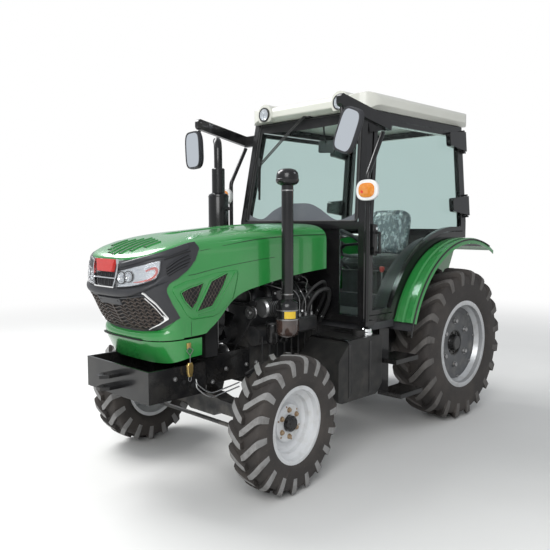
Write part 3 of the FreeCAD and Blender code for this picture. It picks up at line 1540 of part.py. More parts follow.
def make_top_link():
    """The top link: a turnbuckle with an eye at each end."""
    link = new_body("top_link")
    near = q.top_pin_x
    far = near - q.top_link_length
    half = 18.0
    eye = q.link_pin_radius + 12.0
    extrude(link, "x", (0.0, q.top_pin_z, 15.0), far + 12.0, near - 12.0)
    extrude(link, "x", (0.0, q.top_pin_z, 22.0), far + 120.0, near - 120.0)
    for x in (near, far):
        extrude(link, "y", (x, q.top_pin_z, eye), -half, half)
    for x, radius in ((near, q.link_pin_radius + q.running_gap), (far, q.top_ball_radius)):
        extrude(link, "y", (x, q.top_pin_z, radius), -half - 5.0, half + 5.0, cut=True)


def check_and_write():
    """Stop at any failed object, then write each sub-part's file."""
    faults = [
        f"{item.Label}: {item.State}" for item in doc.Objects
        if "Invalid" in item.State or "Error" in item.State
    ]
    faults += [
        f"{item.Label}: no valid shape" for item in nodes
        if item.Shape.isNull() or not item.Shape.isValid()
    ]
    if faults:
        raise RuntimeError("\n".join(faults))
    os.makedirs("parts", exist_ok=True)
    for item in nodes:
        shape = item.Shape
        shape.exportStep(f"parts/{item.Label}.step")
        print(f"{item.Label:20s} solids {len(shape.Solids)} faces {len(shape.Faces)} "
              f"litres {shape.Volume / 1e6:.2f}")


rear_carcass = make_carcass(q.rear_tyre_radius - q.rear_lug_height, q.rear_tyre_width,
                            q.rear_rim_half, q.rear_bead_radius)
front_carcass = make_carcass(q.front_tyre_radius - q.front_lug_height, q.front_tyre_width,
                             q.front_rim_half, q.front_bead_radius)
for side, word in SIDES:
    make_rear_wheel(side, word, rear_carcass)
    make_front_wheel(side, word, front_carcass)
    make_knuckle(side, word)
    make_fender(side, word)
    make_door(side, word)
make_tie_rod()
make_axle_beam()
make_transmission()
make_engine()
make_front_support()
make_radiator()
make_tank()
make_battery_box()
make_steps()
make_stacks()
make_hood()
make_cab_frame()
make_cab_panels()
make_cab_floor()
make_cab_glass()
make_roof()
make_cab_inside()
make_steering_wheel()
make_trim()
make_hitch()
doc.recompute()
check_and_write()
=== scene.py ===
"""Paint, glass, tyres, lamps and trim for a compact farm tractor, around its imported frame.

Lengths are in metres. Each piece is worked out from the point on the ground below the rear
axle, +X forward, +Y to the tractor's left, +Z up, and is moved by REAR_X when it is made.
"""

import json
import math

import bmesh
import bpy
import numpy as np
from mathutils import Matrix, Vector


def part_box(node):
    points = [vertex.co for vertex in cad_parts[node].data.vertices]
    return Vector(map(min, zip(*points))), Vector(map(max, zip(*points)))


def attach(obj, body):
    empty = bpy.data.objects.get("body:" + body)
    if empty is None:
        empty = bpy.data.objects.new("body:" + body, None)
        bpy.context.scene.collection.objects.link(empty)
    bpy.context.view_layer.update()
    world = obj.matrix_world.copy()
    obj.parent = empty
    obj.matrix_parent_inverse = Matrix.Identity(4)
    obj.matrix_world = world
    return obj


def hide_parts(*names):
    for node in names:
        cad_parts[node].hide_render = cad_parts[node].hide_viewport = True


bl_info = {
    "name": "Farm tractor dressing",
    "version": (1, 0, 0),
    "blender": (4, 5, 0),
    "location": "View3D > Sidebar > Tractor",
    "description": "Tyres, panels, lamps, cab trim and a stage around a packed tractor",
    "category": "Object",
}

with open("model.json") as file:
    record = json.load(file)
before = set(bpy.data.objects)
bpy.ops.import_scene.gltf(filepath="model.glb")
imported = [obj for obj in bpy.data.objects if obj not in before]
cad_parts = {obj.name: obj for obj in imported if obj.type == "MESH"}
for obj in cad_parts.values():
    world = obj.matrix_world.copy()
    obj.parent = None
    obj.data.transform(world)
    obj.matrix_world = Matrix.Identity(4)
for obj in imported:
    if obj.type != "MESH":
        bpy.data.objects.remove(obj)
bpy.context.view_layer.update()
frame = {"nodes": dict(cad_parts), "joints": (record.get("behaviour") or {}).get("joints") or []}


def middle_of(node):
    """The middle of a node's box."""
    low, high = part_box(node)
    return (low + high) / 2


REAR_X = middle_of("rim_rear_left").x
AHEAD, LEFT, UP = (1.0, 0.0, 0.0), (0.0, 1.0, 0.0), (0.0, 0.0, 1.0)
SIDES = ((1, "left"), (-1, "right"))


def axis_of(body):
    """The joint that carries a body: its axis as a vector."""
    for joint in frame["joints"]:
        if joint["child"] == body:
            return Vector(joint["axis"])
    raise RuntimeError(f"no joint carries {body}")


# Settings that a user would change


class TractorColours(bpy.types.PropertyGroup):
    """Colours of the finishes."""

    paint: bpy.props.FloatVectorProperty(
        name="Body paint", description="Gloss paint of hood, chin and fenders",
        default=(0.018, 0.205, 0.040), size=3, subtype="COLOR", min=0.0, max=1.0)
    charcoal: bpy.props.FloatVectorProperty(
        name="Nose plastic", description="Dark plastic of the nose",
        default=(0.026, 0.027, 0.031), size=3, subtype="COLOR", min=0.0, max=1.0)
    roof: bpy.props.FloatVectorProperty(
        name="Roof", description="Plastic of the cab's roof",
        default=(0.62, 0.62, 0.56), size=3, subtype="COLOR", min=0.0, max=1.0)
    enamel: bpy.props.FloatVectorProperty(
        name="Black enamel", description="Gloss paint of cab frame, rails and brackets",
        default=(0.0065, 0.0065, 0.0072), size=3, subtype="COLOR", min=0.0, max=1.0)
    dust: bpy.props.FloatVectorProperty(
        name="Yard dust", description="Dry dust on tyres and low parts",
        default=(0.30, 0.275, 0.235), size=3, subtype="COLOR", min=0.0, max=1.0)


class TractorTyres(bpy.types.PropertyGroup):
    """Lugs and rubber of the four tyres."""

    rear_lugs: bpy.props.IntProperty(
        name="Rear lugs", description="Lugs on each half of a rear tyre", default=20, min=8, max=30)
    front_lugs: bpy.props.IntProperty(
        name="Front lugs", description="Lugs on each half of a front tyre", default=18, min=8,
        max=30)
    rear_depth: bpy.props.FloatProperty(
        name="Rear lug depth", description="Height of a rear lug above the carcass",
        default=0.036, min=0.01, max=0.06, unit="LENGTH")
    front_depth: bpy.props.FloatProperty(
        name="Front lug depth", description="Height of a front lug above the carcass",
        default=0.028, min=0.01, max=0.05, unit="LENGTH")


class TractorStage(bpy.types.PropertyGroup):
    """Camera and light."""

    lens: bpy.props.FloatProperty(
        name="Lens", description="Focal length on a 36 mm sensor", default=42.07, min=10.0,
        max=200.0, unit="CAMERA")
    yaw: bpy.props.FloatProperty(
        name="Camera heading", description="Direction of view about the vertical",
        default=math.radians(-135.033), subtype="ANGLE")
    pitch: bpy.props.FloatProperty(
        name="Camera pitch", description="Direction of view above the horizon",
        default=math.radians(-4.724), subtype="ANGLE")
    roll: bpy.props.FloatProperty(
        name="Camera roll", description="Turn about the direction of view",
        default=math.radians(-0.133), subtype="ANGLE")
    place: bpy.props.FloatVectorProperty(
        name="Camera place", description="Where the camera stands", subtype="TRANSLATION",
        default=(3.4982, 3.1068, 1.5054), size=3, unit="LENGTH")
    key: bpy.props.FloatProperty(
        name="Key light", description="Power of the large soft lamp", default=330.0, min=0.0)


# Curves and surfaces


def through(knots, count):
    """A smooth curve through knots: in each span the Catmull-Rom cubic of its four neighbours."""
    knots = np.asarray(knots, float)
    ends = np.vstack([2 * knots[0] - knots[1], knots, 2 * knots[-1] - knots[-2]])
    along = np.linspace(0, len(knots) - 1, count)
    span = np.minimum(along.astype(int), len(knots) - 2)
    t = (along - span)[:, None]
    a, b, c, d = (ends[span + shift] for shift in range(4))
    return 0.5 * (2 * b + (c - a) * t + (2 * a - 5 * b + 4 * c - d) * t**2 + (3 * b - a - 3 * c + d)
                  * t**3)


def height_at(knots, place):
    """Second coordinate of a smooth curve through (first, second) knots, at given firsts."""
    dense = through(knots, 40 * len(knots))
    return np.interp(place, dense[:, 0], dense[:, 1])


def quads_between(rows, columns, wrap_rows=False, wrap_columns=False):
    """Quads between neighbouring points of a grid of rows by columns."""
    row = np.arange(rows if wrap_rows else rows - 1)
    column = np.arange(columns if wrap_columns else columns - 1)
    row, column = np.meshgrid(row, column, indexing="ij")
    next_row = (row + 1) % rows
    next_column = (column + 1) % columns
    corners = [row * columns + column, next_row * columns + column, next_row * columns + next_column,
               row * columns + next_column]
    return np.stack(corners, -1).reshape(-1, 4)


def unit(vectors):
    """Vectors of length one."""
    return vectors / np.maximum(np.linalg.norm(vectors, axis=-1, keepdims=True), 1e-12)


def carried(path, section, up=UP):
    """Rings of a flat section (across, upright) carried along a path.

    At each point across = tangent x up and upright = across x tangent, all of length one.
    """
    path = np.asarray(path, float)
    tangent = unit(np.gradient(path, axis=0))
    across = unit(np.cross(tangent, np.broadcast_to(up, tangent.shape)))
    upright = np.cross(across, tangent)
    section = np.asarray(section, float)
    return (path[:, None, :] + section[None, :, 0, None] * across[:, None, :] + section[None, :, 1, None]
            * upright[:, None, :])


def circle(radius, count=14):
    """Points (r cos a, r sin a) of a circle."""
    angle = np.arange(count) * 2 * np.pi / count
    return np.stack([radius * np.cos(angle), radius * np.sin(angle)], -1)


def rounded(corners, radius, steps=5):
    """A polygon whose corners are arcs: each arc runs between two points at radius/tan(half)."""
    corners = np.asarray(corners, float)
    before = unit(np.roll(corners, 1, 0) - corners)
    after = unit(np.roll(corners, -1, 0) - corners)
    half = np.arccos(np.clip((before * after).sum(-1), -1, 1)) / 2
    radius = np.broadcast_to(radius, half.shape)
    reach = (radius / np.tan(half))[:, None]
    start, end = corners + before * reach, corners + after * reach
    t = np.linspace(0, 1, steps)[None, :, None]
    blend = (1 - t) ** 2 * start[:, None] + 2 * t * (1 - t) * corners[:, None] + t**2 * end[:, None]
    return blend.reshape(-1, 2)


def inward(outline, distance):
    """An outline moved along its corner bisectors, to the left of its direction of travel."""
    edge = unit(np.roll(outline, -1, 0) - outline)
    normal = np.stack([-edge[:, 1], edge[:, 0]], -1)
    bisector = normal + np.roll(normal, 1, 0)
    scale = np.maximum((bisector * normal).sum(-1, keepdims=True), 0.2)
    return outline + distance * bisector / scale


def counter_clockwise(outline):
    """The outline with its inside on the left."""
    outline = np.asarray(outline, float)
    ahead = np.roll(outline, -1, 0)
    area = (outline[:, 0] * ahead[:, 1] - outline[:, 1] * ahead[:, 0]).sum()
    return outline if area > 0 else outline[::-1]


def on_plane(flat, axis, level):
    """Flat points set across an axis, at levels along it."""
    flat = np.asarray(flat, float)
    level = np.broadcast_to(level, flat.shape[:-1])
    order = {"x": (level, flat[..., 0], flat[..., 1]), "y": (flat[..., 0], level, flat[..., 1]),
             "z": (flat[..., 0], flat[..., 1], level)}
    return np.stack(order[axis], -1)


def fan_volume(points, faces):
    """Signed volume under a list of faces, each cut into a fan of triangles from one corner."""
    total = 0.0
    for block in faces:
        corners = points[block]
        for k in range(1, corners.shape[1] - 1):
            cross = np.cross(corners[:, k], corners[:, k + 1])
            total += (corners[:, 0] * cross).sum()
    return total


def drum(radius, low, high):
    """(radius, along) profile of a plain cylinder."""
    return [(0.0, low), (radius, low), (radius, high), (0.0, high)]


def oblong(left, right, low, high):
    """The four corners of a rectangle, counter-clockwise."""
    return [(left, low), (right, low), (right, high), (left, high)]


def between(low, high, share):
    """The value at a share of the way from low to high."""
    return low + (high - low) * share


def mirrored(half):
    """(t, z) knots from the middle outwards, with their mirror image before them."""
    return [(-t, z) for t, z in reversed(half) if t] + half


class Mould:
    """A mesh gathered from computed surfaces, each with its own material slot."""

    def __init__(self):
        self.points = []
        self.faces = []
        self.slots = []
        self.count = 0

    def take(self, points, quads, caps=(), slot=0):
        """Add the points and faces of a closed surface, turned so that they look outwards."""
        points = np.asarray(points, float).reshape(-1, 3)
        blocks = [np.asarray(quads)] + [np.asarray(cap)[None, :] for cap in caps]
        if fan_volume(points - points.mean(0), blocks) < 0:
            blocks = [block[:, ::-1] for block in blocks]
        slots = np.broadcast_to(slot, len(blocks[0]))
        self.slots.extend(slots.tolist())
        self.slots.extend([int(slots[-1])] * (len(blocks) - 1))
        for block in blocks:
            self.faces.extend((block + self.count).tolist())
        self.points.append(points)
        self.count += len(points)

    def rings(self, rings, slot=0, loop=False):
        """A solid of rings of points, one after another, capped at both ends or joined up."""
        rings = np.asarray(rings, float)
        rows, columns = rings.shape[:2]
        caps = () if loop else (np.arange(columns)[::-1], np.arange(columns) + (rows - 1) * columns)
        self.take(rings, quads_between(rows, columns, loop, True), caps, slot)

    def sheet(self, grid, thickness, slot=0):
        """A closed skin: a grid, the same grid moved inwards along its normals, and its rim."""
        grid = np.asarray(grid, float)
        rows, columns = grid.shape[:2]
        normal = unit(np.cross(np.gradient(grid, axis=0), np.gradient(grid, axis=1)))
        under = grid - normal * thickness
        face = quads_between(rows, columns)
        shift = rows * columns
        index = np.arange(shift).reshape(rows, columns)
        rim = np.concatenate([index[:, 0], index[-1, 1:], index[-2::-1, -1], index[0, -2:0:-1]])
        ahead = np.roll(rim, -1)
        edge = np.stack([rim, rim + shift, ahead + shift, ahead], -1)
        quads = np.vstack([face, face[:, ::-1] + shift, edge])
        slots = np.zeros(len(quads), int) + slot
        self.take(np.vstack([grid.reshape(-1, 3), under.reshape(-1, 3)]), quads, (), slots)

    def turned(self, profile, centre, axis, count=48, slot=0):
        """A lathe solid: each (radius, along) of a closed profile goes round the axis."""
        profile = np.asarray(profile, float)
        axis = unit(np.asarray(axis, float))
        side = unit(np.cross(axis, (0.3, 0.9, 0.2) if abs(axis[1]) < 0.9 else (0.9, 0.1, 0.3)))
        other = np.cross(axis, side)
        angle = np.arange(count)[:, None, None] * 2 * np.pi / count
        out = side * np.cos(angle) + other * np.sin(angle)
        grid = np.asarray(centre) + profile[None, :, :1] * out + profile[None, :, 1:] * axis
        self.take(grid, quads_between(count, len(profile), True, True), (), slot)

    def plate(self, outline, axis, low, high, bevel=0.0, slot=0):
        """A flat outline between two levels of an axis, its edges cut back by a bevel."""
        outline = counter_clockwise(outline)
        shy = inward(outline, bevel)
        levels = [(shy, low), (outline, low + bevel), (outline, high - bevel), (shy, high)]
        if bevel == 0.0:
            levels = [(outline, low), (outline, high)]
        self.rings([on_plane(flat, axis, level) for flat, level in levels], slot)

    def block(self, low, high, bevel=0.003, slot=0):
        """A box between two corners with bevelled edges."""
        outline = rounded([(low[0], low[1]), (high[0], low[1]), (high[0], high[1]), (low[0], high[1])],
                          bevel, 3)
        self.plate(outline, "z", low[2], high[2], bevel, slot)

    def tube(self, path, radius, slot=0, up=UP, count=14):
        """A round bar along a path."""
        self.rings(carried(path, circle(radius, count), up), slot)

    def bolts(self, places, axis, size, slot=0):
        """Hexagon heads on round washers, at places, with their axis outwards."""
        for place in np.atleast_2d(places):
            washer = oblong(0, size, 0, size * 0.2)
            self.turned(washer, place, axis, 16, slot)
            head = [(0, size * 0.2), (size * 0.8, size * 0.2), (size * 0.8, size * 0.75),
                    (size * 0.62, size * 0.9), (0, size * 0.9)]
            self.turned(head, place, axis, 6, slot)

    def ring(self, centre, axis, inner, outer, half, slot=0, count=32):
        """A flat ring about an axis."""
        self.turned(oblong(inner, outer, -half, half), centre, axis, count, slot)

    def piece(self, name, body, finishes, slot_name, crease=32.0, shift=REAR_X):
        """The mesh as an object that rides on a body, its finishes named in slot order.

        Points that coincide are merged.
        """
        mesh = bpy.data.meshes.new(name)
        mesh.from_pydata((np.vstack(self.points) + (shift, 0.0, 0.0)).tolist(), [], self.faces)
        for finish_name in finishes.split():
            mesh.materials.append(finish(finish_name))
        mesh.polygons.foreach_set("material_index", self.slots)
        merged = bmesh.new()
        merged.from_mesh(mesh)
        bmesh.ops.remove_doubles(merged, verts=merged.verts, dist=1e-6)
        merged.to_mesh(mesh)
        merged.free()
        mesh.polygons.foreach_set("use_smooth", [True] * len(mesh.polygons))
        mesh.set_sharp_from_angle(angle=math.radians(crease))
        thing = bpy.data.objects.new(name, mesh)
        bpy.context.scene.collection.objects.link(thing)
        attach(thing, body)
        return thing


# Finishes


class Finish:
    """A procedural material: a principled shader fed by noise on Object coordinates."""

    def __init__(self, name, colour, roughness, **sockets):
        self.material = bpy.data.materials.new(name)
        self.material.use_nodes = True
        self.nodes = self.material.node_tree.nodes
        self.links = self.material.node_tree.links
        self.shader = self.nodes["Principled BSDF"]
        self.shader.inputs["Base Color"].default_value = (*colour, 1.0)
        self.shader.inputs["Roughness"].default_value = roughness
        self.colour = None
        self.plain = (*colour, 1.0)
        for socket, value in sockets.items():
            self.shader.inputs[socket.replace("_", " ")].default_value = value
        self.place = self.nodes.new("ShaderNodeTexCoord").outputs["Object"]

    def node(self, kind, **settings):
        """A node with its settings."""
        made = self.nodes.new(kind)
        for key, value in settings.items():
            setattr(made, key, value)
        return made

    def noise(self, scale, detail=4.0, rough=0.55, stretch=(1.0, 1.0, 1.0)):
        """Noise at a scale in cycles per metre, stretched along the axes."""
        mapping = self.node("ShaderNodeMapping")
        mapping.inputs["Scale"].default_value = stretch
        self.links.new(self.place, mapping.inputs["Vector"])
        noise = self.node("ShaderNodeTexNoise")
        noise.inputs["Scale"].default_value = scale
        noise.inputs["Detail"].default_value = detail
        noise.inputs["Roughness"].default_value = rough
        self.links.new(mapping.outputs["Vector"], noise.inputs["Vector"])
        return noise.outputs["Fac"]

    def ramp(self, value, low, high, bottom=0.0, top=1.0):
        """A value stretched from low..high to bottom..top, and clamped."""
        ramp = self.node("ShaderNodeMapRange", interpolation_type="SMOOTHSTEP")
        self.links.new(value, ramp.inputs["Value"])
        for socket, number in (("From Min", low), ("From Max", high), ("To Min", bottom),
                               ("To Max", top)):
            ramp.inputs[socket].default_value = number
        return ramp.outputs["Result"]

    def join(self, first, second, operation="MULTIPLY"):
        """Two values joined by a sum or a product."""
        math_node = self.node("ShaderNodeMath", operation=operation, use_clamp=True)
        self.links.new(first, math_node.inputs[0])
        if isinstance(second, float):
            math_node.inputs[1].default_value = second
        else:
            self.links.new(second, math_node.inputs[1])
        return math_node.outputs["Value"]

    def height(self):
        """Height above the ground."""
        split = self.node("ShaderNodeSeparateXYZ")
        self.links.new(self.place, split.inputs["Vector"])
        return split.outputs["Z"]

    def cover(self, factor, colour):
        """Lay a second colour over the first where the factor is high."""
        mix = self.node("ShaderNodeMix", data_type="RGBA")
        self.links.new(factor, mix.inputs["Factor"])
        if self.colour is None:
            mix.inputs["A"].default_value = self.plain
        else:
            self.links.new(self.colour, mix.inputs["A"])
        mix.inputs["B"].default_value = (*colour, 1.0)
        self.colour = mix.outputs["Result"]
        self.links.new(self.colour, self.shader.inputs["Base Color"])
        return self

    def polish(self, factor, low, high):
        """Roughness from low to high as the factor rises."""
        self.links.new(self.ramp(factor, 0.0, 1.0, low, high), self.shader.inputs["Roughness"])
        return self

    def bump(self, value, strength, distance=0.002):
        """Relief from a value."""
        bump = self.node("ShaderNodeBump")
        bump.inputs["Strength"].default_value = strength
        bump.inputs["Distance"].default_value = distance
        self.links.new(value, bump.inputs["Height"])
        self.links.new(bump.outputs["Normal"], self.shader.inputs["Normal"])
        return self


def settings():
    """The scene's settings for this tractor."""
    return bpy.context.scene.tractor_colours


def dusty(made, amount, top):
    """Dust that thins out with height and gathers in patches."""
    patch = made.ramp(made.noise(9.0, 6.0, 0.6), 0.35, 0.75)
    low = made.ramp(made.height(), 0.0, top, amount, amount * 0.15)
    factor = made.join(patch, low)
    made.cover(factor, tuple(settings().dust))
    return factor


CRINKLE = (26, 6, 0.7, (1, 1.6, 1))
LOOKS = {
    "green_paint": dict(
        colour="paint", rough=0.26, covers=[((1.6, 2), 0.3, 0.7, 0.35, 1.35)], dust=(0.1, 1.6),
        bump=((240, 2), 0.02, 0.001), Coat_Weight=0.7, Coat_Roughness=0.06),
    "charcoal_plastic": dict(
        colour="charcoal", rough=0.46, covers=[((3, 3), 0.35, 0.7, 0.5, (0.04, 0.041, 0.046))],
        dust=(0.08, 1.8), bump=((700, 2), 0.1, 0.0006), Coat_Weight=0.12, Coat_Roughness=0.3,
        Specular_IOR_Level=0.32),
    "black_enamel": dict(
        colour="enamel", rough=0.24, covers=[((6, 4), 0.4, 0.75, 0.5, (0.012, 0.012, 0.013))],
        dust=(0.1, 1.2), bump=((160, 3), 0.05, 0.0008), Coat_Weight=0.25, Coat_Roughness=0.1,
        Specular_IOR_Level=0.3),
    "cast_metal": dict(
        colour=(0.02, 0.021, 0.023), rough=0.55, covers=[((14, 5), 0.4, 0.7, 1, (0.035, 0.035, 0.036))],
        dust=(0.45, 1), polish=(0.45, 0.85), bump=((420, 4), 0.35, 0.001), Metallic=0.2),
    "tyre_rubber": dict(
        colour=(0.036, 0.032, 0.03), rough=0.72, covers=[
            ((5, 5), 0.4, 0.75, 0.55, (0.075, 0.064, 0.056)),
            ((38, 6, 0.65), 0.56, 0.8, 0.35, (0.15, 0.125, 0.1))],
        bump=((420, 3), 0.2, 0.0012), Specular_IOR_Level=0.35),
    "lug_face": dict(
        colour=(0.235, 0.232, 0.228), rough=0.8, bump=((300, 3), 0.25, 0.0012),
        covers=[((22, 6, 0.6), 0.42, 0.72, 0.7, (0.135, 0.128, 0.122))]),
    "rear_lug_face": dict(
        colour=(0.105, 0.098, 0.092), rough=0.78, bump=((300, 3), 0.25, 0.0012),
        covers=[((16, 6, 0.6), 0.4, 0.72, 0.7, (0.05, 0.045, 0.042))]),
    "silver_paint": dict(
        colour=(0.48, 0.49, 0.5), rough=0.32, covers=[((18, 5), 0.45, 0.75, 0.5, (0.36, 0.35, 0.33))],
        bump=((500, 3), 0.06, 0.0006), Metallic=0.55),
    "rim_white": dict(
        colour=(0.6, 0.61, 0.62), rough=0.4, covers=[((16, 5), 0.45, 0.78, 0.55, (0.42, 0.41, 0.385))],
        bump=((420, 3), 0.08, 0.0006), Metallic=0.15),
    "grey_disc": dict(
        colour=(0.085, 0.088, 0.092), rough=0.45, bump=((300, 3), 0.12, 0.0008), Metallic=0.3,
        covers=[((14, 5), 0.45, 0.75, 0.6, (0.17, 0.165, 0.155))]),
    "roof_plastic": dict(
        colour="roof", rough=0.34, covers=[((2.5, 4), 0.4, 0.75, 0.35, (0.52, 0.51, 0.45))],
        bump=((500, 2), 0.05, 0.0006), Coat_Weight=0.3, Coat_Roughness=0.15),
    "cab_glass": dict(
        colour=(0.85, 0.955, 0.92), rough=0.01, covers=[((3, 3), 0.5, 0.8, 0.25, (0.84, 0.93, 0.91))],
        Transmission_Weight=1, IOR=1.12, Specular_IOR_Level=0.9),
    "frit_print": dict(
        colour=(0.1, 0.11, 0.125), rough=0.18, covers=[((8, 3), 0.4, 0.7, 0.4, (0.13, 0.14, 0.15))],
        Coat_Weight=0.6),
    "mirror_glass": dict(
        colour=(0.86, 0.9, 0.94), rough=0.02, covers=[((12, 4), 0.6, 0.85, 0.2, (0.6, 0.62, 0.62))],
        Metallic=1),
    "chrome": dict(
        colour=(0.8, 0.81, 0.82), rough=0.09, covers=[((30, 4), 0.55, 0.8, 0.3, (0.6, 0.6, 0.6))],
        Metallic=1),
    "white_trim": dict(
        colour=(0.78, 0.78, 0.77), rough=0.3, covers=[((20, 4), 0.5, 0.8, 0.3, (0.6, 0.59, 0.57))],
        Coat_Weight=0.4),
    "lamp_lens": dict(
        colour=(0.93, 0.95, 0.97), rough=0.03, bump=((60, 2), 0.03, 0.001), Transmission_Weight=0.92,
        IOR=1.25, Coat_Weight=0.4),
    "reflector": dict(
        colour=(0.86, 0.87, 0.88), rough=0.16, bump=((90, 1), 0.3, 0.002), Metallic=0.9),
    "amber_lens": dict(
        colour=(0.85, 0.28, 0.03), rough=0.16, covers=[((70, 1), 0.45, 0.6, 0.4, (0.95, 0.42, 0.08))],
        bump=((120, 1), 0.3, 0.001), Coat_Weight=0.6, Transmission_Weight=0.25),
    "red_lens": dict(
        colour=(0.62, 0.035, 0.02), rough=0.15, covers=[((70, 1), 0.45, 0.6, 0.5, (0.75, 0.1, 0.04))],
        Coat_Weight=0.6),
    "red_plate": dict(
        colour=(0.52, 0.035, 0.03), rough=0.3, covers=[((40, 3), 0.45, 0.7, 0.4, (0.6, 0.07, 0.06))],
        Coat_Weight=0.4),
    "mesh_steel": dict(
        colour=(0.06, 0.049, 0.043), rough=0.42, Specular_IOR_Level=0.4,
        covers=[((60, 4), 0.45, 0.75, 0.6, (0.16, 0.125, 0.1))]),
    # Near-black. It is painted shade in holes, slots, crease and gap lines, under the nose louvres, in the
    # backs of the grille, the vents and the headlamp frame, around the headlamp bowls, in the exhaust's
    # mouth and in the windscreen's top band. It is also the colour of the radiator, the roof hatch's panel
    # and the windscreen's side bands.
    "dark_gap": dict(
        colour=(0.006, 0.006, 0.007), rough=0.8, covers=[((12, 3), 0.4, 0.7, 0.5, (0.012, 0.012, 0.012))]),
    "rubber_seal": dict(
        colour=(0.012, 0.012, 0.012), rough=0.6, covers=[((40, 3), 0.4, 0.7, 0.5, (0.03, 0.03, 0.03))],
        bump=((300, 2), 0.2, 0.0006)),
    "inner_plastic": dict(
        colour=(0.035, 0.036, 0.039), rough=0.62, covers=[((10, 4), 0.4, 0.7, 1, (0.055, 0.055, 0.058))],
        bump=((900, 2), 0.25, 0.0006)),
    "tank_plastic": dict(
        colour=(0.012, 0.012, 0.012), rough=0.46, dust=(0.16, 1), bump=((500, 2), 0.12, 0.0008),
        Specular_IOR_Level=0.35),
    "bare_steel": dict(
        colour=(0.3, 0.3, 0.3), rough=0.38, covers=[((24, 7, 0.65), 0.55, 0.78, 0.7, (0.16, 0.085, 0.045))],
        polish=(0.32, 0.8), bump=((340, 4), 0.2, 0.0006), Metallic=0.9),
    "brass": dict(
        colour=(0.62, 0.44, 0.16), rough=0.3, covers=[((40, 4), 0.5, 0.8, 0.6, (0.35, 0.24, 0.1))],
        bump=((300, 3), 0.15, 0.0006), Metallic=0.9),
    "rusty_steel": dict(
        colour=(0.36, 0.27, 0.17), rough=0.55, covers=[((90, 5, 0.65), 0.42, 0.68, 1, (0.2, 0.105, 0.05))],
        bump=((400, 3), 0.3, 0.0006), Metallic=0.35),
    "smoked_bowl": dict(
        colour=(0.045, 0.03, 0.026), rough=0.09, covers=[((14, 3), 0.4, 0.7, 0.6, (0.1, 0.055, 0.04))],
        Coat_Weight=0.9),
    "yellow_label": dict(
        colour=(0.68, 0.46, 0.03), rough=0.5, covers=[((40, 4), 0.5, 0.8, 0.4, (0.5, 0.36, 0.06))]),
    "seat_cloth": dict(
        colour=(0.03, 0.031, 0.034), rough=0.88, covers=[((900, 2), 0.4, 0.65, 1, (0.06, 0.062, 0.066))],
        bump=((1400, 2), 0.5, 0.0008), Sheen_Weight=0.3, Sheen_Roughness=0.4),
    # Seat film: pale where the crinkle noise rises, the same noise as its bump, so the crests of the folds
    # carry painted highlights.
    "seat_film": dict(
        colour=(0.1, 0.125, 0.145), rough=0.16, covers=[(CRINKLE, 0.48, 0.62, 1, (0.42, 0.47, 0.51))],
        bump=(CRINKLE, 0.9, 0.012), Coat_Weight=0.8, Coat_Roughness=0.08),
}
FINISHES = {}


def made_finish(name, colour, rough, covers=(), dust=None, polish=None, bump=None, **sockets):
    """A finish from its row in LOOKS.

    The colour may be the name of a setting. Each cover is (noise, from, to, amount, colour or
    multiple of the first colour), dust is (amount, height), polish is the roughness from low
    to high of the last factor, and bump is (noise, strength, distance).
    """
    if isinstance(colour, str):
        colour = tuple(getattr(settings(), colour))
    made = Finish(name, colour, rough, **sockets)
    for noise, low, high, amount, patch in covers:
        if isinstance(patch, float):
            patch = tuple(part * patch for part in colour)
        factor = made.ramp(made.noise(*noise), low, high, 0.0, amount)
        made.cover(factor, patch)
    if dust:
        factor = dusty(made, *dust)
    if polish:
        made.polish(factor, *polish)
    if bump:
        made.bump(made.noise(*bump[0]), *bump[1:])
    return made


def finish(name):
    """One of the finishes by name; each is made when it is first asked for."""
    if name not in FINISHES:
        FINISHES[name] = made_finish(name, **LOOKS[name]).material
    return FINISHES[name]


NODE_FINISH = {
    "cast_metal": "engine transmission front_axle_beam knuckle_left knuckle_right tie_rod",
    "black_enamel": "front_support exhaust air_cleaner steps cab_frame cab_panels cab_trim "
                    "mirror_heads door_frame_left door_frame_right lift_arms lower_links",
    "green_paint": "chin_panel fender_left fender_right hood_shell",
    "tank_plastic": "fuel_tank battery_box",
    "inner_plastic": "cab_floor dash_console control_levers steering_wheel",
    "cab_glass": "cab_glass door_glass_left door_glass_right",
    "bare_steel": "drawbar lift_rods top_link",
    "tyre_rubber": "tyre_front_left tyre_front_right tyre_rear_left tyre_rear_right",
    "rim_white": "rim_front_left rim_front_right", "silver_paint": "rim_rear_left rim_rear_right",
    "dark_gap": "radiator_unit", "roof_plastic": "roof", "seat_cloth": "seat", "white_trim": "lamps",
    "charcoal_plastic": "hood_fascia", "mesh_steel": "hood_grille", "chrome": "headlamps",
}


def finish_nodes():
    """Give each CAD node its finish."""
    chosen = {node: name for name, nodes in NODE_FINISH.items() for node in nodes.split()}
    for node, thing in frame["nodes"].items():
        thing.data.materials.clear()
        thing.data.materials.append(finish(chosen[node]))


# Tyres and rims


LUG_ROWS = 10
LUG_RING = 6
TYRE_TURNS = 120
SWEEP_POWER = 1.15


def tyre_profile(size, depth):
    """(along the axle, radius) of the carcass: smooth from bead over crown to bead."""
    half, bead, rim = size["width"] / 2, size["bead"], size["rim_half"]
    rise = size["radius"] - depth - bead
    knots = [(rim - 0.014, 0.0), (rim - 0.004, 0.07), (0.975 * half, 0.24), (half, 0.46),
             (0.985 * half, 0.68), (0.93 * half, 0.87), (0.8 * half, 0.965), (0.45 * half, 0.995),
             (0.0, 1.0)]
    side = np.array([(across, bead + rise * share) for across, share in knots])
    return through(np.vstack([side, side[-2::-1] * (-1, 1)]), 60)


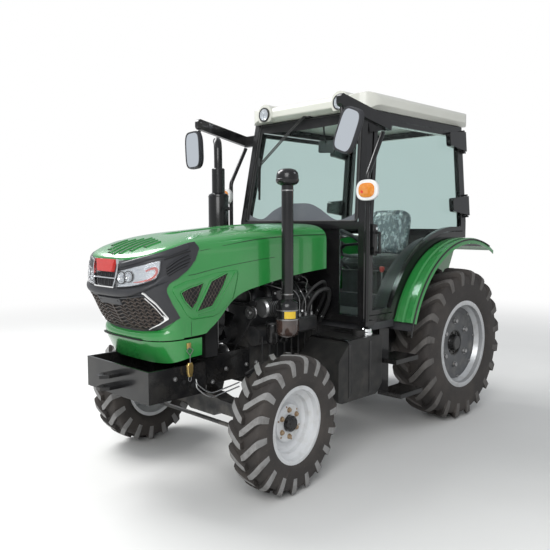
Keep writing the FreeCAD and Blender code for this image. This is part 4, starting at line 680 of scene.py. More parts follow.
def lug_rings(side, turn, start, size, depth):
    """One lug as rings of six points across it, from the middle of the tread to the sidewall.

    Its crest and its foot are two curves in (share of the half width, radius above the base);
    the angle grows with the distance from the middle, as t^SWEEP_POWER, and the lug is wider
    at its foot.
    """
    half, base = size["width"] / 2, size["radius"] - depth
    crest = through([(-0.03, 0.0), (0.3, -0.001), (0.66, -0.004), (0.9, -0.012), (0.995, -0.034),
                     (1.005, -0.075), (0.99, -0.125)], LUG_ROWS)
    foot = through([(-0.03, -0.005), (0.3, -0.006), (0.6, -0.008), (0.78, -0.014), (0.88, -0.034),
                    (0.93, -0.065), (0.955, -0.118)], LUG_ROWS)
    angle = start + turn * size["sweep"] * np.clip(crest[:, 0], 0, 1) ** SWEEP_POWER
    spread = np.interp(np.linspace(0, 1, LUG_ROWS), [0, 0.1, 0.75, 1], [0.75, 1.0, 1.15, 1.0])
    spread = spread * size["thick"] / size["radius"]
    rings = []
    for level, share in ((0.0, 1.45), (0.9, 1.03), (1.0, 0.92)):
        across = side * half * between(foot[:, 0], crest[:, 0], level)
        rise = 0.0 if level == 0.0 else (depth + crest[:, 1] - foot[:, 1]) * level
        rings.append((across, base + foot[:, 1] + rise, spread * share))
    points = []
    for level, sign in ((0, -1), (1, -1), (2, -1), (2, 1), (1, 1), (0, 1)):
        across, out, wide = rings[level]
        swing = angle + sign * wide
        points.append(np.stack([out * np.sin(swing), across, out * np.cos(swing)], -1))
    return np.stack(points, 1)


def wheel_place(which):
    """A wheel's middle and its outward axis."""
    axis = axis_of(f"wheel_{which}")
    middle = middle_of(f"tyre_{which}")
    return middle, axis if axis.y * middle.y > 0 else -axis


def at_wheel(points, which):
    """Points drawn about the Y axis, +Y outwards, set at a wheel's middle."""
    middle, axis = wheel_place(which)
    points = np.asarray(points)
    placed = (points[..., :1] * np.cross(axis, UP) + points[..., 1:2] * np.array(axis) + points[..., 2:]
              * np.array(UP))
    return placed + np.array(middle)


WHEEL_SIZES = {
    "rear": dict(radius=0.574, width=0.300, bead=0.305, rim_half=0.137, sweep=0.27, thick=0.026),
    "front": dict(radius=0.388, width=0.205, bead=0.203, rim_half=0.084, sweep=0.245, thick=0.0215),
}


def make_tyre(kind, word):
    """A tyre: carcass turned about the axle, and two staggered rows of lugs."""
    which = f"{kind}_{word}"
    tyres = bpy.context.scene.tractor_tyres
    size = WHEEL_SIZES[kind]
    depth = getattr(tyres, f"{kind}_depth")
    lugs = getattr(tyres, f"{kind}_lugs")
    mould = Mould()
    profile = tyre_profile(size, depth)
    closed = np.vstack([profile, profile[-1] - (-0.004, 0.006), profile[0] - (0.004, 0.006)])
    angle = np.linspace(0, 2 * np.pi, TYRE_TURNS, endpoint=False)[:, None]
    along = np.broadcast_to(closed[:, 0], (TYRE_TURNS, len(closed)))
    grid = np.stack([closed[:, 1] * np.sin(angle), along, closed[:, 1] * np.cos(angle)], -1)
    mould.take(at_wheel(grid, which), quads_between(TYRE_TURNS, len(closed), True, True))
    turn = -1 if word == "left" else 1
    ring = quads_between(LUG_ROWS, LUG_RING, False, True)
    crest = np.array([set(quad % LUG_RING) == {2, 3} for quad in ring])
    caps = (np.arange(LUG_RING)[::-1], np.arange(LUG_RING) + (LUG_ROWS - 1) * LUG_RING)
    for side in (-1, 1):
        for index in range(lugs):
            start = (index + 0.25 * side) * 2 * math.pi / lugs
            rings = lug_rings(side, turn, start, size, depth)
            mould.take(at_wheel(rings, which), ring, caps, crest.astype(int))
    lug = "lug_face" if kind == "front" else "rear_lug_face"
    tyre = mould.piece(f"lugged_tyre_{which}", f"wheel_{which}", f"tyre_rubber {lug}", "tyre", 28.0, 0.0)
    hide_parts(f"tyre_{which}")


def around_wheel(count, radius, level, phase=0.0):
    """Places round the axle at a radius and a level along it."""
    angle = phase + np.arange(count) * 2 * np.pi / count
    return np.stack([radius * np.sin(angle), np.full(count, level), radius * np.cos(angle)], -1)


def rim_ring(bead, half, rise, metal):
    """Closed (radius, along) outline of a rim: rolled flanges, bead seats and a dropped well."""
    outer = [(bead + rise, half), (bead + rise, half - 0.009), (bead + 0.004, half - 0.013),
             (bead, half - 0.034), (bead - 0.03, half * 0.45), (bead - 0.032, -half * 0.1),
             (bead - 0.004, -half + 0.034), (bead + 0.002, 0.013 - half), (bead + rise, 0.009 - half),
             (bead + rise, -half)]
    inner = [(radius - metal, along) for radius, along in outer[-3:1:-1]]
    inner[0] = (bead - metal, -half)
    inner[-1] = (bead - metal, half)
    return rounded(outer + inner, 0.003, 3)


RIMS = {
    "rear": dict(
        rise=0.033, metal=0.008, disc=0.057, counts=(96, 72, 48), slots=(0, 1, 2),
        web=[(0.1, 0), (0.236, 0), (0.252, 0.01), (0.278, 0.016), (0.279, 0.006), (0.256, -0.002),
             (0.24, -0.01), (0.1, -0.01)],
        hub=[(0, -0.048), (0.13, -0.048), (0.13, -0.0105), (0.102, -0.0105), (0.102, -0.004),
             (0.092, -0.004), (0.088, -0.014), (0.066, -0.014), (0.058, 0.002), (0.054, 0.018),
             (0.044, 0.024), (0, 0.024)],
        bolts=((6, 0.17, 0, 0, 0.024, 3), (8, 0.077, -0.014, 0.2, 0.009, 2),
               (8, 0.264, 0.013, 0.1, 0.011, 3)),
        valve=(0.226, 0.125, (-0.004, 0.02, 0.042), 0.0045, 3),
        finishes="silver_paint grey_disc black_enamel bare_steel", slot="rim_silver"),
    "front": dict(
        rise=0.0215, metal=0.007, disc=0.022, counts=(80, 64, 40), slots=(0, 0, 1),
        web=[(0.046, 0), (0.096, 0), (0.106, -0.004), (0.113, -0.02), (0.134, -0.026),
             (0.152, -0.024), (0.166, -0.01), (0.178, -0.002), (0.178, -0.011), (0.164, -0.021),
             (0.152, -0.033), (0.132, -0.035), (0.108, -0.028), (0.096, -0.01), (0.046, -0.01)],
        hub=[(0, -0.0347), (0.078, -0.0347), (0.078, -0.0105), (0.045, -0.0105), (0.045, 0.022),
             (0.036, 0.032), (0, 0.034)],
        bolts=((6, 0.075, 0, 0, 0.0155, 3), (6, 0.096, -0.002, 0.22, 0.006, 3),
               (6, 0.028, 0.03, 0.3, 0.005, 1)),
        valve=(0.15, 0.075, (-0.018, 0.004, 0.018), 0.004, 2),
        finishes="rim_white black_enamel bare_steel rusty_steel", slot="rim_white"),
}


def make_rim(kind, word):
    """A rim: ring, dished disc, hub, rings of bolts and a valve.

    Web, hub and bolts are (radius, along the axle from the level of the disc); a ring of bolts
    is (count, radius, along, phase, size, slot).
    """
    which, size, rim = f"{kind}_{word}", WHEEL_SIZES[kind], RIMS[kind]
    disc = rim["disc"]
    middle, axis = wheel_place(which)
    mould = Mould()
    ring = rim_ring(size["bead"], size["rim_half"], rim["rise"], rim["metal"])
    web = rounded(np.add(rim["web"], (0, disc)), 0.002, 3)
    hub = np.add(rim["hub"], (0, disc))
    for profile, count, slot in zip((ring, web, hub), rim["counts"], rim["slots"]):
        mould.turned(profile, middle, axis, count, slot)
    for count, radius, along, phase, head, slot in rim["bolts"]:
        places = around_wheel(count, radius, disc + along, phase)
        mould.bolts(at_wheel(places, which), axis, head, slot)
    ahead, up, steps, thick, slot = rim["valve"]
    mould.tube(at_wheel([(ahead, disc + step, up) for step in steps], which), thick, slot, UP, 8)
    made = mould.piece(f"dished_rim_{which}", f"wheel_{which}", rim["finishes"], rim["slot"], 30.0, 0.0)
    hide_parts(f"rim_{which}")


# Hood and nose

NOSE_FROM = 2.3
NOSE_POWER = 3.2
HOOD_REAR = 1.222
HOOD_HALF = 0.36
HOOD_MIDDLE = np.array((1.9, 0.0, 1.1))
SHOULDER = 1.3
TOP_REACH = 2.15
TOP_POWER = 3.4
FRONT_AT = [(0.7, 2.441), (0.8, 2.495), (0.86, 2.525), (0.9, 2.515), (0.925, 2.505), (0.95, 2.525),
            (1.0, 2.558), (1.08, 2.6), (1.14, 2.632), (1.2, 2.63), (1.276, 2.622), (1.31, 2.616),
            (1.4, 2.58)]
HALF_AT = [(0.7, 0.325), (0.8, 0.335), (0.92, 0.335), (1.0, 0.34), (1.14, 0.348), (1.3, 0.342),
           (1.5, 0.335)]
TOP_AT = [(1.1, 1.495), (1.222, 1.494), (1.607, 1.488), (2.003, 1.458), (2.223, 1.437), (2.443, 1.392),
          (2.564, 1.356), (2.7, 1.315)]
SHOULDER_DROP = [(1.1, 0.13), (1.222, 0.13), (2.1, 0.105), (2.35, 0.06), (2.7, 0.03)]
LOW_EDGE = [(1.1, 1.205), (1.222, 1.2), (1.545, 1.17), (1.834, 1.124), (1.963, 1.094), (2.046, 1.046),
            (2.127, 0.96), (2.19, 0.912), (2.26, 0.885), (2.7, 0.88)]


def skin(t, z):
    """A point of the hood's side or nose: t is 0 at the middle of the nose, 1 where it ends.

    Up to |t| = 1 the outline from above is a superellipse of power NOSE_POWER between the
    front at that height and NOSE_FROM; from 1 to 2 it runs straight to the rear edge.
    """
    t, z = np.broadcast_arrays(np.asarray(t, float), np.asarray(z, float))
    angle = np.clip(np.abs(t), 0, 1) * np.pi / 2
    ahead = np.maximum(np.cos(angle), 0) ** (2 / NOSE_POWER)
    aside = np.maximum(np.sin(angle), 0) ** (2 / NOSE_POWER)
    front = height_at(FRONT_AT, z)
    half = height_at(HALF_AT, z)
    back = np.clip(np.abs(t) - 1, 0, None)
    x = NOSE_FROM + (front - NOSE_FROM) * ahead - back * (NOSE_FROM - HOOD_REAR)
    y = np.sign(t) * (half * aside + back * (HOOD_HALF - half))
    return np.stack([x, y, z], -1)


def skin_patch(low, high, start, end, columns, rows, lift):
    """A patch of the skin between two curves z(t), moved outwards by lift along its normal."""
    t = np.linspace(start, end, columns)[:, None]
    share = np.linspace(0, 1, rows)[None, :]
    bottom = height_at(low, t)
    top = height_at(high, t)
    grid = skin(np.broadcast_to(t, (columns, rows)), between(bottom, top, share))
    normal = unit(np.cross(np.gradient(grid, axis=0), np.gradient(grid, axis=1)))
    sign = np.sign((normal * (grid - HOOD_MIDDLE)).sum(-1).mean())
    return grid + normal * sign * lift


def outward(grid):
    """The grid with its rows ordered so that its normals point away from the middle."""
    normal = np.cross(np.gradient(grid, axis=0), np.gradient(grid, axis=1))
    return grid if (normal * (grid - HOOD_MIDDLE)).sum() > 0 else grid[::-1]


def hood_top(t, rise):
    """A point of the hood's rounded top: rise is 0 at the shoulder and 1 on the middle line.

    The outline at the shoulder shrinks to the middle line by cos^(2/TOP_POWER) while the
    height grows by sin^(2/TOP_POWER); the middle line itself slopes as TOP_AT.
    """
    t, rise = np.broadcast_arrays(np.asarray(t, float), np.asarray(rise, float))
    edge = skin(t, SHOULDER)
    anchor_x = np.minimum(edge[..., 0], TOP_REACH)
    shrink = np.maximum(np.cos(rise * np.pi / 2), 0) ** (2 / TOP_POWER)
    grow = np.maximum(np.sin(rise * np.pi / 2), 0) ** (2 / TOP_POWER)
    x = anchor_x + (edge[..., 0] - anchor_x) * shrink
    y = edge[..., 1] * shrink
    drop = height_at(SHOULDER_DROP, edge[..., 0])
    z = height_at(TOP_AT, x) - drop * (1 - grow)
    return np.stack([x, y, z], -1)


def shoulder_height(t):
    """Height of the shoulder line at t."""
    return hood_top(t, 0.0)[..., 2]


def make_hood():
    """The painted hood: sides with their cut lower edge, and the rounded top."""
    mould = Mould()
    t = np.concatenate([np.linspace(-2, -1, 40), np.linspace(-1, 1, 81)[1:-1],
                        np.linspace(1, 2, 40)])[:, None]
    share = np.linspace(0, 1, 22)[None, :]
    flat = skin(t, 1.2)[..., 0]
    low = height_at(LOW_EDGE, flat)
    z = between(low, shoulder_height(t), share)
    side = skin(np.broadcast_to(t, z.shape), z)
    top = hood_top(t, np.linspace(0, 1, 22)[None, 1:])
    whole = np.concatenate([side, top], 1)
    mould.sheet(outward(whole), 0.004)
    hood = mould.piece("hood_skin", "hood", "green_paint", "green", 40.0)
    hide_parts("hood_shell")


RIDGE_LOW = mirrored([(0, 1.112), (0.25, 1.12), (0.5, 1.151), (0.62, 1.171), (1, 1.225)])
RIDGE_HIGH = mirrored([(0, 1.158), (0.16, 1.161), (0.41, 1.175), (0.6, 1.198), (0.664, 1.216),
                       (1, 1.262)])


def skin_normal(t, z):
    """The outward normal of the skin: the cross product of its slopes along t and z."""
    step = 0.002
    along = skin(t + step, z) - skin(t - step, z)
    upward = skin(t, z + step) - skin(t, z - step)
    normal = unit(np.cross(along, upward))
    away = skin(t, z) - HOOD_MIDDLE
    return normal * np.sign((normal * away).sum(-1, keepdims=True))


def off_skin(t, z, lift):
    """A point of the skin moved outwards by a lift."""
    t, z, lift = np.broadcast_arrays(np.asarray(t, float), np.asarray(z, float), np.asarray(lift, float))
    return skin(t, z) + skin_normal(t, z) * lift[..., None]


def dense(corners, radius=0.006, count=90):
    """A closed outline with rounded corners and evenly spread points."""
    outline = rounded(corners, radius, 4)
    closed = np.vstack([outline, outline[:1]])
    length = np.concatenate([[0.0], np.cumsum(np.linalg.norm(np.diff(closed, axis=0), axis=1))])
    place = np.linspace(0, length[-1], count, endpoint=False)
    return np.stack([np.interp(place, length, closed[:, 0]), np.interp(place, length, closed[:, 1])], -1)


def island(mould, corners, lift, slot=0, side=1, edge=0.94, radius=0.006, low=-0.004):
    """A plate on the skin: its outline shrinks towards the middle while it rises to the lift."""
    outline = dense(corners, radius) * (side, 1)
    middle = outline.mean(0)
    shares = np.concatenate([[1.0, 0.5 + edge / 2], np.linspace(edge, 0.03, 8)])
    lifts = np.concatenate([[low, lift * 0.8], np.full(8, lift)])
    rings = [off_skin(*(middle + (outline - middle) * share).T, rise) for share,
             rise in zip(shares, lifts)]
    mould.rings(rings, slot)


def edging(mould, line, half, height, slot=0, side=1, loop=False):
    """A flat-topped strip along a line of (t, z), rooted 2 mm under the skin.

    half is half its width at the root; its top is 0.65 of that.
    """
    line = np.asarray(line, float) * (side, 1)
    point = skin(*line.T)
    normal = skin_normal(*line.T)
    if loop:
        tangent = unit(np.roll(point, -1, 0) - np.roll(point, 1, 0))
    else:
        tangent = unit(np.gradient(point, axis=0))
    across = unit(np.cross(tangent, normal))
    wide = np.broadcast_to(half, len(line))[:, None] * np.array((-1.0, 1.0, 0.65, -0.65))
    tall = np.array((-0.002, -0.002, height, height))
    rings = (point[:, None] + wide[..., None] * across[:, None] + tall[None, :, None] * normal[:, None])
    mould.rings(rings, slot, loop)


NOSE_LOW, NOSE_TALL = 0.905, 0.395
RIDGE_REACH = 0.78
NOSE_EDGE = [(0.0, 0.865, 0.995), (0.06, 0.85, 1.01), (0.24, 0.79, 1.075), (0.42, 0.758, 1.14),
             (0.47, 0.76, 1.16), (0.52, 0.79, 1.184), (0.6, 0.885, 1.209), (0.7, 0.965, 1.246),
             (0.75, 0.99, 1.272), (0.92, 1.03, 1.366), (1.0, 1.0, 1.4)]
MOUTH = [(-0.14, 0.918), (0.14, 0.918), (0.59, 0.98), (0.634, 1.004), (0.6, 1.035), (0.475, 1.118),
         (0.44, 1.126), (0.1, 1.107), (-0.1, 1.107), (-0.44, 1.126), (-0.475, 1.118), (-0.6, 1.035),
         (-0.634, 1.004), (-0.59, 0.98)]
MOUTH_LOW = mirrored([(0.14, 0.918), (0.59, 0.98), (0.634, 1.004)])
MOUTH_HIGH = mirrored([(0.1, 1.107), (0.44, 1.126), (0.475, 1.118), (0.634, 1.004)])
LAMP = [(0.128, 1.248), (0.36, 1.275), (0.684, 1.308), (0.67, 1.244), (0.622, 1.21), (0.41, 1.18),
        (0.3, 1.17), (0.092, 1.16)]


def make_nose():
    """The dark nose: one skin with a slanted rear edge, the ridge and the louvres.

    Across it t runs as u times the edge's t and z leaves the middle line, which rises from
    NOSE_LOW by NOSE_TALL, as |u|^1.8.
    """
    mould = Mould()
    edge = np.array(NOSE_EDGE)
    u = np.linspace(-1, 1, 91)[:, None]
    v = np.linspace(0, 1, 46)[None, :]
    edge_t, edge_z = (np.interp(v, edge[:, 0], edge[:, k]) for k in (1, 2))
    middle = NOSE_LOW + NOSE_TALL * v
    t = u * edge_t
    z = middle + (edge_z - middle) * np.abs(u) ** 1.8
    mould.sheet(outward(off_skin(t, z, 0.006)), 0.01)
    band_low = [(0.13, 1.262), (0.36, 1.288), (0.68, 1.32), (0.74, 1.318), (0.86, 1.335), (0.97, 1.356)]
    band_high = [(0.13, 1.292), (0.36, 1.318), (0.6, 1.342), (0.8, 1.368), (0.97, 1.392)]
    for side, _ in SIDES:
        low_line, high_line = through(band_low, 30)[:, None], through(band_high, 30)[:, None]
        t, z = np.moveaxis(between(low_line, high_line, np.linspace(0, 1, 7)[None, :, None]), -1, 0)
        share = np.linspace(0, 1, 7)[None, :]
        swell = 0.006 + 0.008 * np.sin(share * np.pi) ** 0.6
        mould.sheet(outward(off_skin(t * side, z, np.broadcast_to(swell, t.shape))), 0.008)
        # Charcoal louvres, each with a near-black strip below it that is painted shade; one more near-black
        # strip is painted shade under the raised band.
        for line in ([(0.755, 1.268), (0.865, 1.305), (0.975, 1.336)], [(0.755, 1.254), (0.87, 1.289),
                     (0.985, 1.318)], [(0.76, 1.24), (0.875, 1.272), (0.98, 1.299)], [(0.765, 1.226),
                     (0.87, 1.255), (0.965, 1.28)]):
            edging(mould, through(line, 16), 0.0042, 0.0125, 0, side)
            edging(mould, through(line, 16) - (0.0, 0.0075), 0.0036, 0.0068, 1, side)
        edging(mould, through([(0.72, 1.308), (0.85, 1.326), (0.985, 1.35)], 16), 0.0055, 0.0075, 1, side)
    share = np.linspace(0, 1, 11)[None, :]
    t = np.linspace(-RIDGE_REACH, RIDGE_REACH, 80)[:, None]
    z = between(height_at(RIDGE_LOW, t), height_at(RIDGE_HIGH, t), share)
    fade = np.clip((0.8 - np.abs(t)) / 0.25, 0.15, 1.0)
    swell = 0.007 + 0.016 * np.sin(share ** 0.7 * np.pi) ** 0.8 * fade
    mould.sheet(outward(off_skin(t, z, swell)), 0.01)
    edging(mould, dense(MOUTH, 0.012, 150), 0.0055, 0.0135, 0, 1, True)
    nose = mould.piece("nose_frame", "hood", "charcoal_plastic dark_gap", "charcoal", 35.0)
    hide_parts("hood_fascia")


def zigzag(start, end, level, pitch, rise):
    """A zigzag line at a level: its height swings by rise at every half pitch along t."""
    count = max(int(round((end - start) / pitch * 2)), 1)
    t = np.linspace(start, end, count * 3 + 1)
    swing = 1.0 - 2.0 * np.abs((t / pitch + 100.0) % 1.0 - 0.5) * 2.0
    return np.stack([t, level + rise * swing], -1)


def make_grille():
    """The hexagonal grille: rows of zigzag bars over a near-black back painted as the shade behind them,
    bracket plate, pale trims.
    """
    mould = Mould()
    # Near-black back: painted shade behind the bars.
    island(mould, MOUTH, 0.0075, 1, 1, 0.97)
    sample = np.linspace(-0.63, 0.63, 631)
    low = np.interp(sample, *np.array(MOUTH_LOW).T)
    high = np.interp(sample, *np.array(MOUTH_HIGH).T)
    for row in range(10):
        level = 0.934 + row * 0.0195
        inside = sample[(low + 0.004 < level) & (level < high - 0.004)]
        for start, end in ((-1, 0), (0, 1)):
            part = inside[(inside >= start) & (inside <= end)]
            if len(part) > 12:
                line = zigzag(part[0], part[-1], level, 0.094, 0.0072)
                edging(mould, line, 0.0036, 0.015, 0)
    for t in np.arange(-0.564, 0.565, 0.094):
        bottom = np.interp(t, *np.array(MOUTH_LOW).T) + 0.003
        top = np.interp(t, *np.array(MOUTH_HIGH).T) - 0.003
        if top - bottom > 0.02:
            edging(mould, [(t, z) for z in np.linspace(bottom, top, 8)], 0.0022, 0.011, 0)
    edging(mould, [(0.0, z) for z in np.linspace(0.918, 1.106, 12)], 0.0055, 0.015, 0)
    for side, _ in SIDES:
        edging(mould, dense_line([(0.445, 1.14), (0.475, 1.134), (0.575, 1.082), (0.692, 1.0)], 30),
               0.0036, 0.0185, 2, side)
        edging(mould, dense_line([(0.692, 1.0), (0.54, 0.972), (0.318, 0.941)], 24),
               np.interp(np.linspace(0, 1, 24), [0, 0.2, 1], [0.006, 0.0045, 0.002]), 0.0185, 2, side)
        edging(mould, dense_line([(0.462, 1.116), (0.56, 1.058), (0.622, 1.012)], 20), 0.0022, 0.0175, 2,
               side)
        island(mould, [(0.628, 1.02), (0.69, 0.999), (0.628, 0.988)], 0.0185, 2, side, 0.85, 0.003)
    island(mould, [(-0.105, 1.108), (0.105, 1.108), (0.1, 1.07), (-0.1, 1.07)], 0.019, 3, 1, 0.95, 0.004)
    for t in (-0.07, 0.07):
        centre = off_skin(t, 1.094, 0.0185)
        mould.turned(drum(0.0045, 0.0, 0.0012), centre, skin_normal(np.array(t), np.array(1.094)), 14, 1)
    grille = mould.piece("chevron_grille", "hood", "mesh_steel dark_gap white_trim charcoal_plastic",
                         "mesh", 30.0)
    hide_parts("hood_grille")


def dense_line(corners, count):
    """Evenly spread points along straight runs."""
    corners = np.asarray(corners, float)
    length = np.concatenate([[0.0], np.cumsum(np.linalg.norm(np.diff(corners, axis=0), axis=1))])
    place = np.linspace(0, length[-1], count)
    return np.stack([np.interp(place, length, corners[:, k]) for k in range(corners.shape[1])], -1)


def make_headlamps():
    """The wrap-round headlamps, the pale frame between them and its blank red plate."""
    mould = Mould()
    for side, _ in SIDES:
        island(mould, LAMP, 0.0085, 0, side, 0.96, 0.01)
        for t, z, radius in ((0.165, 1.212, 0.029), (0.262, 1.22, 0.026)):
            centre = off_skin(np.array(side * t), np.array(z), 0.007)
            normal = skin_normal(np.array(side * t), np.array(z))
            bowl = [(0.0, 0.0), (radius, 0.001), (radius, 0.009), (radius * 0.84, 0.009),
                    (radius * 0.6, 0.004), (radius * 0.34, 0.004), (radius * 0.28, 0.009), (0.0, 0.011)]
            mould.turned(bowl, centre, normal, 32, 5)
            # Near-black ring round each bowl: painted shade in the gap.
            mould.ring(centre + normal * 0.0055, normal, radius + 0.0005, radius + 0.005, 0.0045, 4, 32)
        for start, end in ((0.36, 0.47), (0.5, 0.58)):
            edging(mould, [(t, 1.252 + 0.1 * (t - 0.36)) for t in np.linspace(start, end, 8)], 0.007,
                   0.012, 5, side)
        hook = through([(0.335, 1.19), (0.47, 1.199), (0.575, 1.214), (0.628, 1.24), (0.622, 1.264),
                        (0.56, 1.262), (0.49, 1.25)], 40)
        width = np.interp(np.linspace(0, 1, 40), [0, 0.3, 0.7, 1], [0.003, 0.0085, 0.0095, 0.006])
        edging(mould, hook, width, 0.0125, 2, side)
        outline = dense(LAMP, 0.01) * (side, 1)
        middle = outline.mean(0)
        lens = [off_skin(*(middle + (outline - middle) * share).T, lift) for share,
                lift in ((0.03, 0.0145), (0.4, 0.0145), (0.75, 0.0145), (0.985, 0.0135), (1.0, 0.015),
                         (0.985, 0.017), (0.75, 0.0185), (0.4, 0.019), (0.03, 0.019))]
        mould.rings(lens, 1)
        edging(mould, dense(LAMP, 0.01, 110), 0.003, 0.017, 6, side, True)
        frame_line = through([(0.1, 1.304), (0.12, 1.268), (0.103, 1.215), (0.08, 1.16)], 24)
        edging(mould, frame_line, np.interp(np.linspace(0, 1, 24), [0, 0.5, 1], [0.005, 0.008, 0.005]),
               0.024, 5, side)
    for level, reach in ((1.207, 0.098), (1.16, 0.082)):
        edging(mould, [(t, level) for t in np.linspace(-reach, reach, 16)], 0.005, 0.022, 5)
    island(mould, [(-0.076, 1.304), (0.076, 1.304), (0.056, 1.238), (-0.056, 1.238)], 0.026, 3, 1, 0.94,
           0.004)
    # Near-black backs of the vents between the lamps: painted shade under their bars.
    for low, high, reach in ((1.213, 1.234, 0.082), (1.167, 1.201, 0.072)):
        island(mould, oblong(-reach, reach, high, low), 0.012, 4, 1, 0.97, 0.004)
        for t in np.linspace(-reach * 0.8, reach * 0.8, 7):
            edging(mould, [(t, z) for z in np.linspace(low + 0.002, high - 0.002, 4)], 0.002, 0.015, 6)
    lamps = mould.piece("wrap_headlamps", "hood",
                        "reflector lamp_lens red_lens red_plate dark_gap chrome charcoal_plastic",
                        "headlamp", 30.0)
    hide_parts("headlamps")


def on_top(x, y, lift):
    """A line on the hood's top at x and y: nearest points of the surface, smoothed by a quartic."""
    grid = hood_top(np.linspace(-1.0, 1.0, 401)[:, None], np.linspace(0, 1, 161)[None, :])
    flat = grid.reshape(-1, 3)
    gap = (flat[None, :, 0] - x[:, None]) ** 2 + (flat[None, :, 1] - y) ** 2
    near = flat[gap.argmin(1), 2]
    z = np.polyval(np.polyfit(x - x.mean(), near, 4), x - x.mean())
    return np.stack([x, np.full(len(x), y), z + lift], -1)


def make_hood_details():
    """Slots in the hood's top, side vents in a raised panel and the lines of creases and gaps; slots, vent
    backs and these lines are near-black, painted shade.
    """
    mould = Mould()
    section = np.array(oblong(-0.0105, 0.0105, -0.004, 0.0036))
    frame_section = np.array([(-0.004, -0.004), (0.004, -0.004), (0.0022, 0.0068), (-0.0022, 0.0068)])
    for y in np.linspace(-0.165, 0.165, 7):
        x = np.linspace(2.597 - 3.6 * y * y, 2.345 + 0.35 * abs(y), 26)
        # Each slot is a near-black bar: painted shade in the opening.
        mould.rings(carried(on_top(x, y, 0.0), section), 1)
        mould.rings(carried(on_top(x, y + 0.0145, 0.0), frame_section), 0)
    panel = [(0.805, 1.158), (0.838, 1.116), (0.935, 1.01), (0.99, 0.972), (1.12, 0.974), (1.165, 0.992),
             (1.258, 1.07), (1.3, 1.236), (1.15, 1.228), (0.975, 1.196)]
    first = [(0.9, 1.131), (1.05, 1.178), (0.988, 1.035), (0.926, 1.086)]
    second = [(1.003, 1.018), (1.094, 1.18), (1.212, 1.224), (1.178, 1.15), (1.104, 1.04)]
    for side, _ in SIDES:
        island(mould, panel, 0.006, 0, side, 0.9, 0.02)
        for vent in (first, second):
            # Near-black back of the vent: painted shade behind its bars.
            island(mould, vent, 0.0072, 1, side, 0.98, 0.006, 0.002)
            edging(mould, dense(vent, 0.006, 70), 0.0042, 0.013, 0, side, True)
            for direction in ((0.62, 1.0), (-0.62, 1.0)):
                for start, end in clipped_lines(np.array(vent), direction, 0.018):
                    edging(mould, dense_line([start, end], 6), 0.0016, 0.0098, 2, side)
        edging(mould, dense_line([(1.262, 1.22), (1.192, 1.12), (1.122, 1.012), (1.02, 0.998)], 30),
               0.0045, 0.0095, 0, side)
        # Thin near-black lines: painted shade along the creases and the panel gap.
        for line in ([(1.035, 1.348), (1.23, 1.378), (1.45, 1.405), (1.72, 1.42), (1.995, 1.424)],
                     [(0.975, 1.219), (1.185, 1.253), (1.45, 1.283), (1.56, 1.292)]):
            edging(mould, through(line, 50), 0.0016, 0.001, 1, side)
        edging(mould, [(0.985, z) for z in np.linspace(0.886, 0.966, 8)], 0.0012, 0.0008, 1, side)
    # Near-black strip between lip and chin: painted shade in the gap.
    edging(mould, [(t, 0.868) for t in np.linspace(-0.45, 0.2, 30)], 0.005, 0.018, 1)
    mould.piece("hood_details", "hood", "green_paint dark_gap mesh_steel", "green", 35.0)


def clipped_lines(corners, direction, pitch):
    """Parallel lines inside a convex outline: each runs between its two crossings of the edges."""
    direction = unit(np.asarray(direction, float))
    normal = np.array((-direction[1], direction[0]))
    along = corners @ direction
    off = corners @ normal
    lines = []
    for level in np.arange(off.min() + pitch / 2, off.max(), pitch):
        ahead = np.roll(np.arange(len(corners)), -1)
        cuts = (off - level) * (off[ahead] - level) < 0
        share = (level - off[cuts]) / (off[ahead][cuts] - off[cuts])
        place = along[cuts] + share * (along[ahead][cuts] - along[cuts])
        if len(place) == 2 and abs(place[1] - place[0]) > 0.012:
            low, high = sorted(place)
            lines.append([level * normal + direction * (low + 0.002), level * normal + direction
                          * (high - 0.002)])
    return lines


def make_chin():
    """The panel below the grille that tapers down to the tray."""
    mould = Mould()
    low = mirrored([(0, 0.738), (0.55, 0.744), (1, 0.77), (1.2, 0.78)])
    high = mirrored([(0, 0.862), (1.2, 0.872)])
    mould.sheet(outward(skin_patch(low, high, -1.045, 1.045, 60, 12, 0.002)), 0.006)
    chin = mould.piece("chin_skin", "chassis", "green_paint", "green", 40.0)
    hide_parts("chin_panel")


def make_lip():
    """The green lip under the grille, which goes up with the hood."""
    mould = Mould()
    low = mirrored([(0, 0.868), (1.2, 0.88)])
    high = mirrored([(0, 0.907), (0.3, 0.918), (0.66, 0.95), (0.865, 0.995), (1.2, 1.02)])
    t = np.linspace(-0.9, 0.9, 60)[:, None]
    share = np.linspace(0, 1, 8)[None, :]
    z = between(height_at(low, t), height_at(high, t), share)
    lift = 0.016 * np.clip((0.95 - np.abs(t)) / 0.35, 0.05, 1.0) * (0.4 + 0.6 * np.sin(share * np.pi))
    mould.sheet(outward(off_skin(t, z, lift)), 0.01)
    mould.piece("grille_lip", "hood", "green_paint", "green", 40.0)


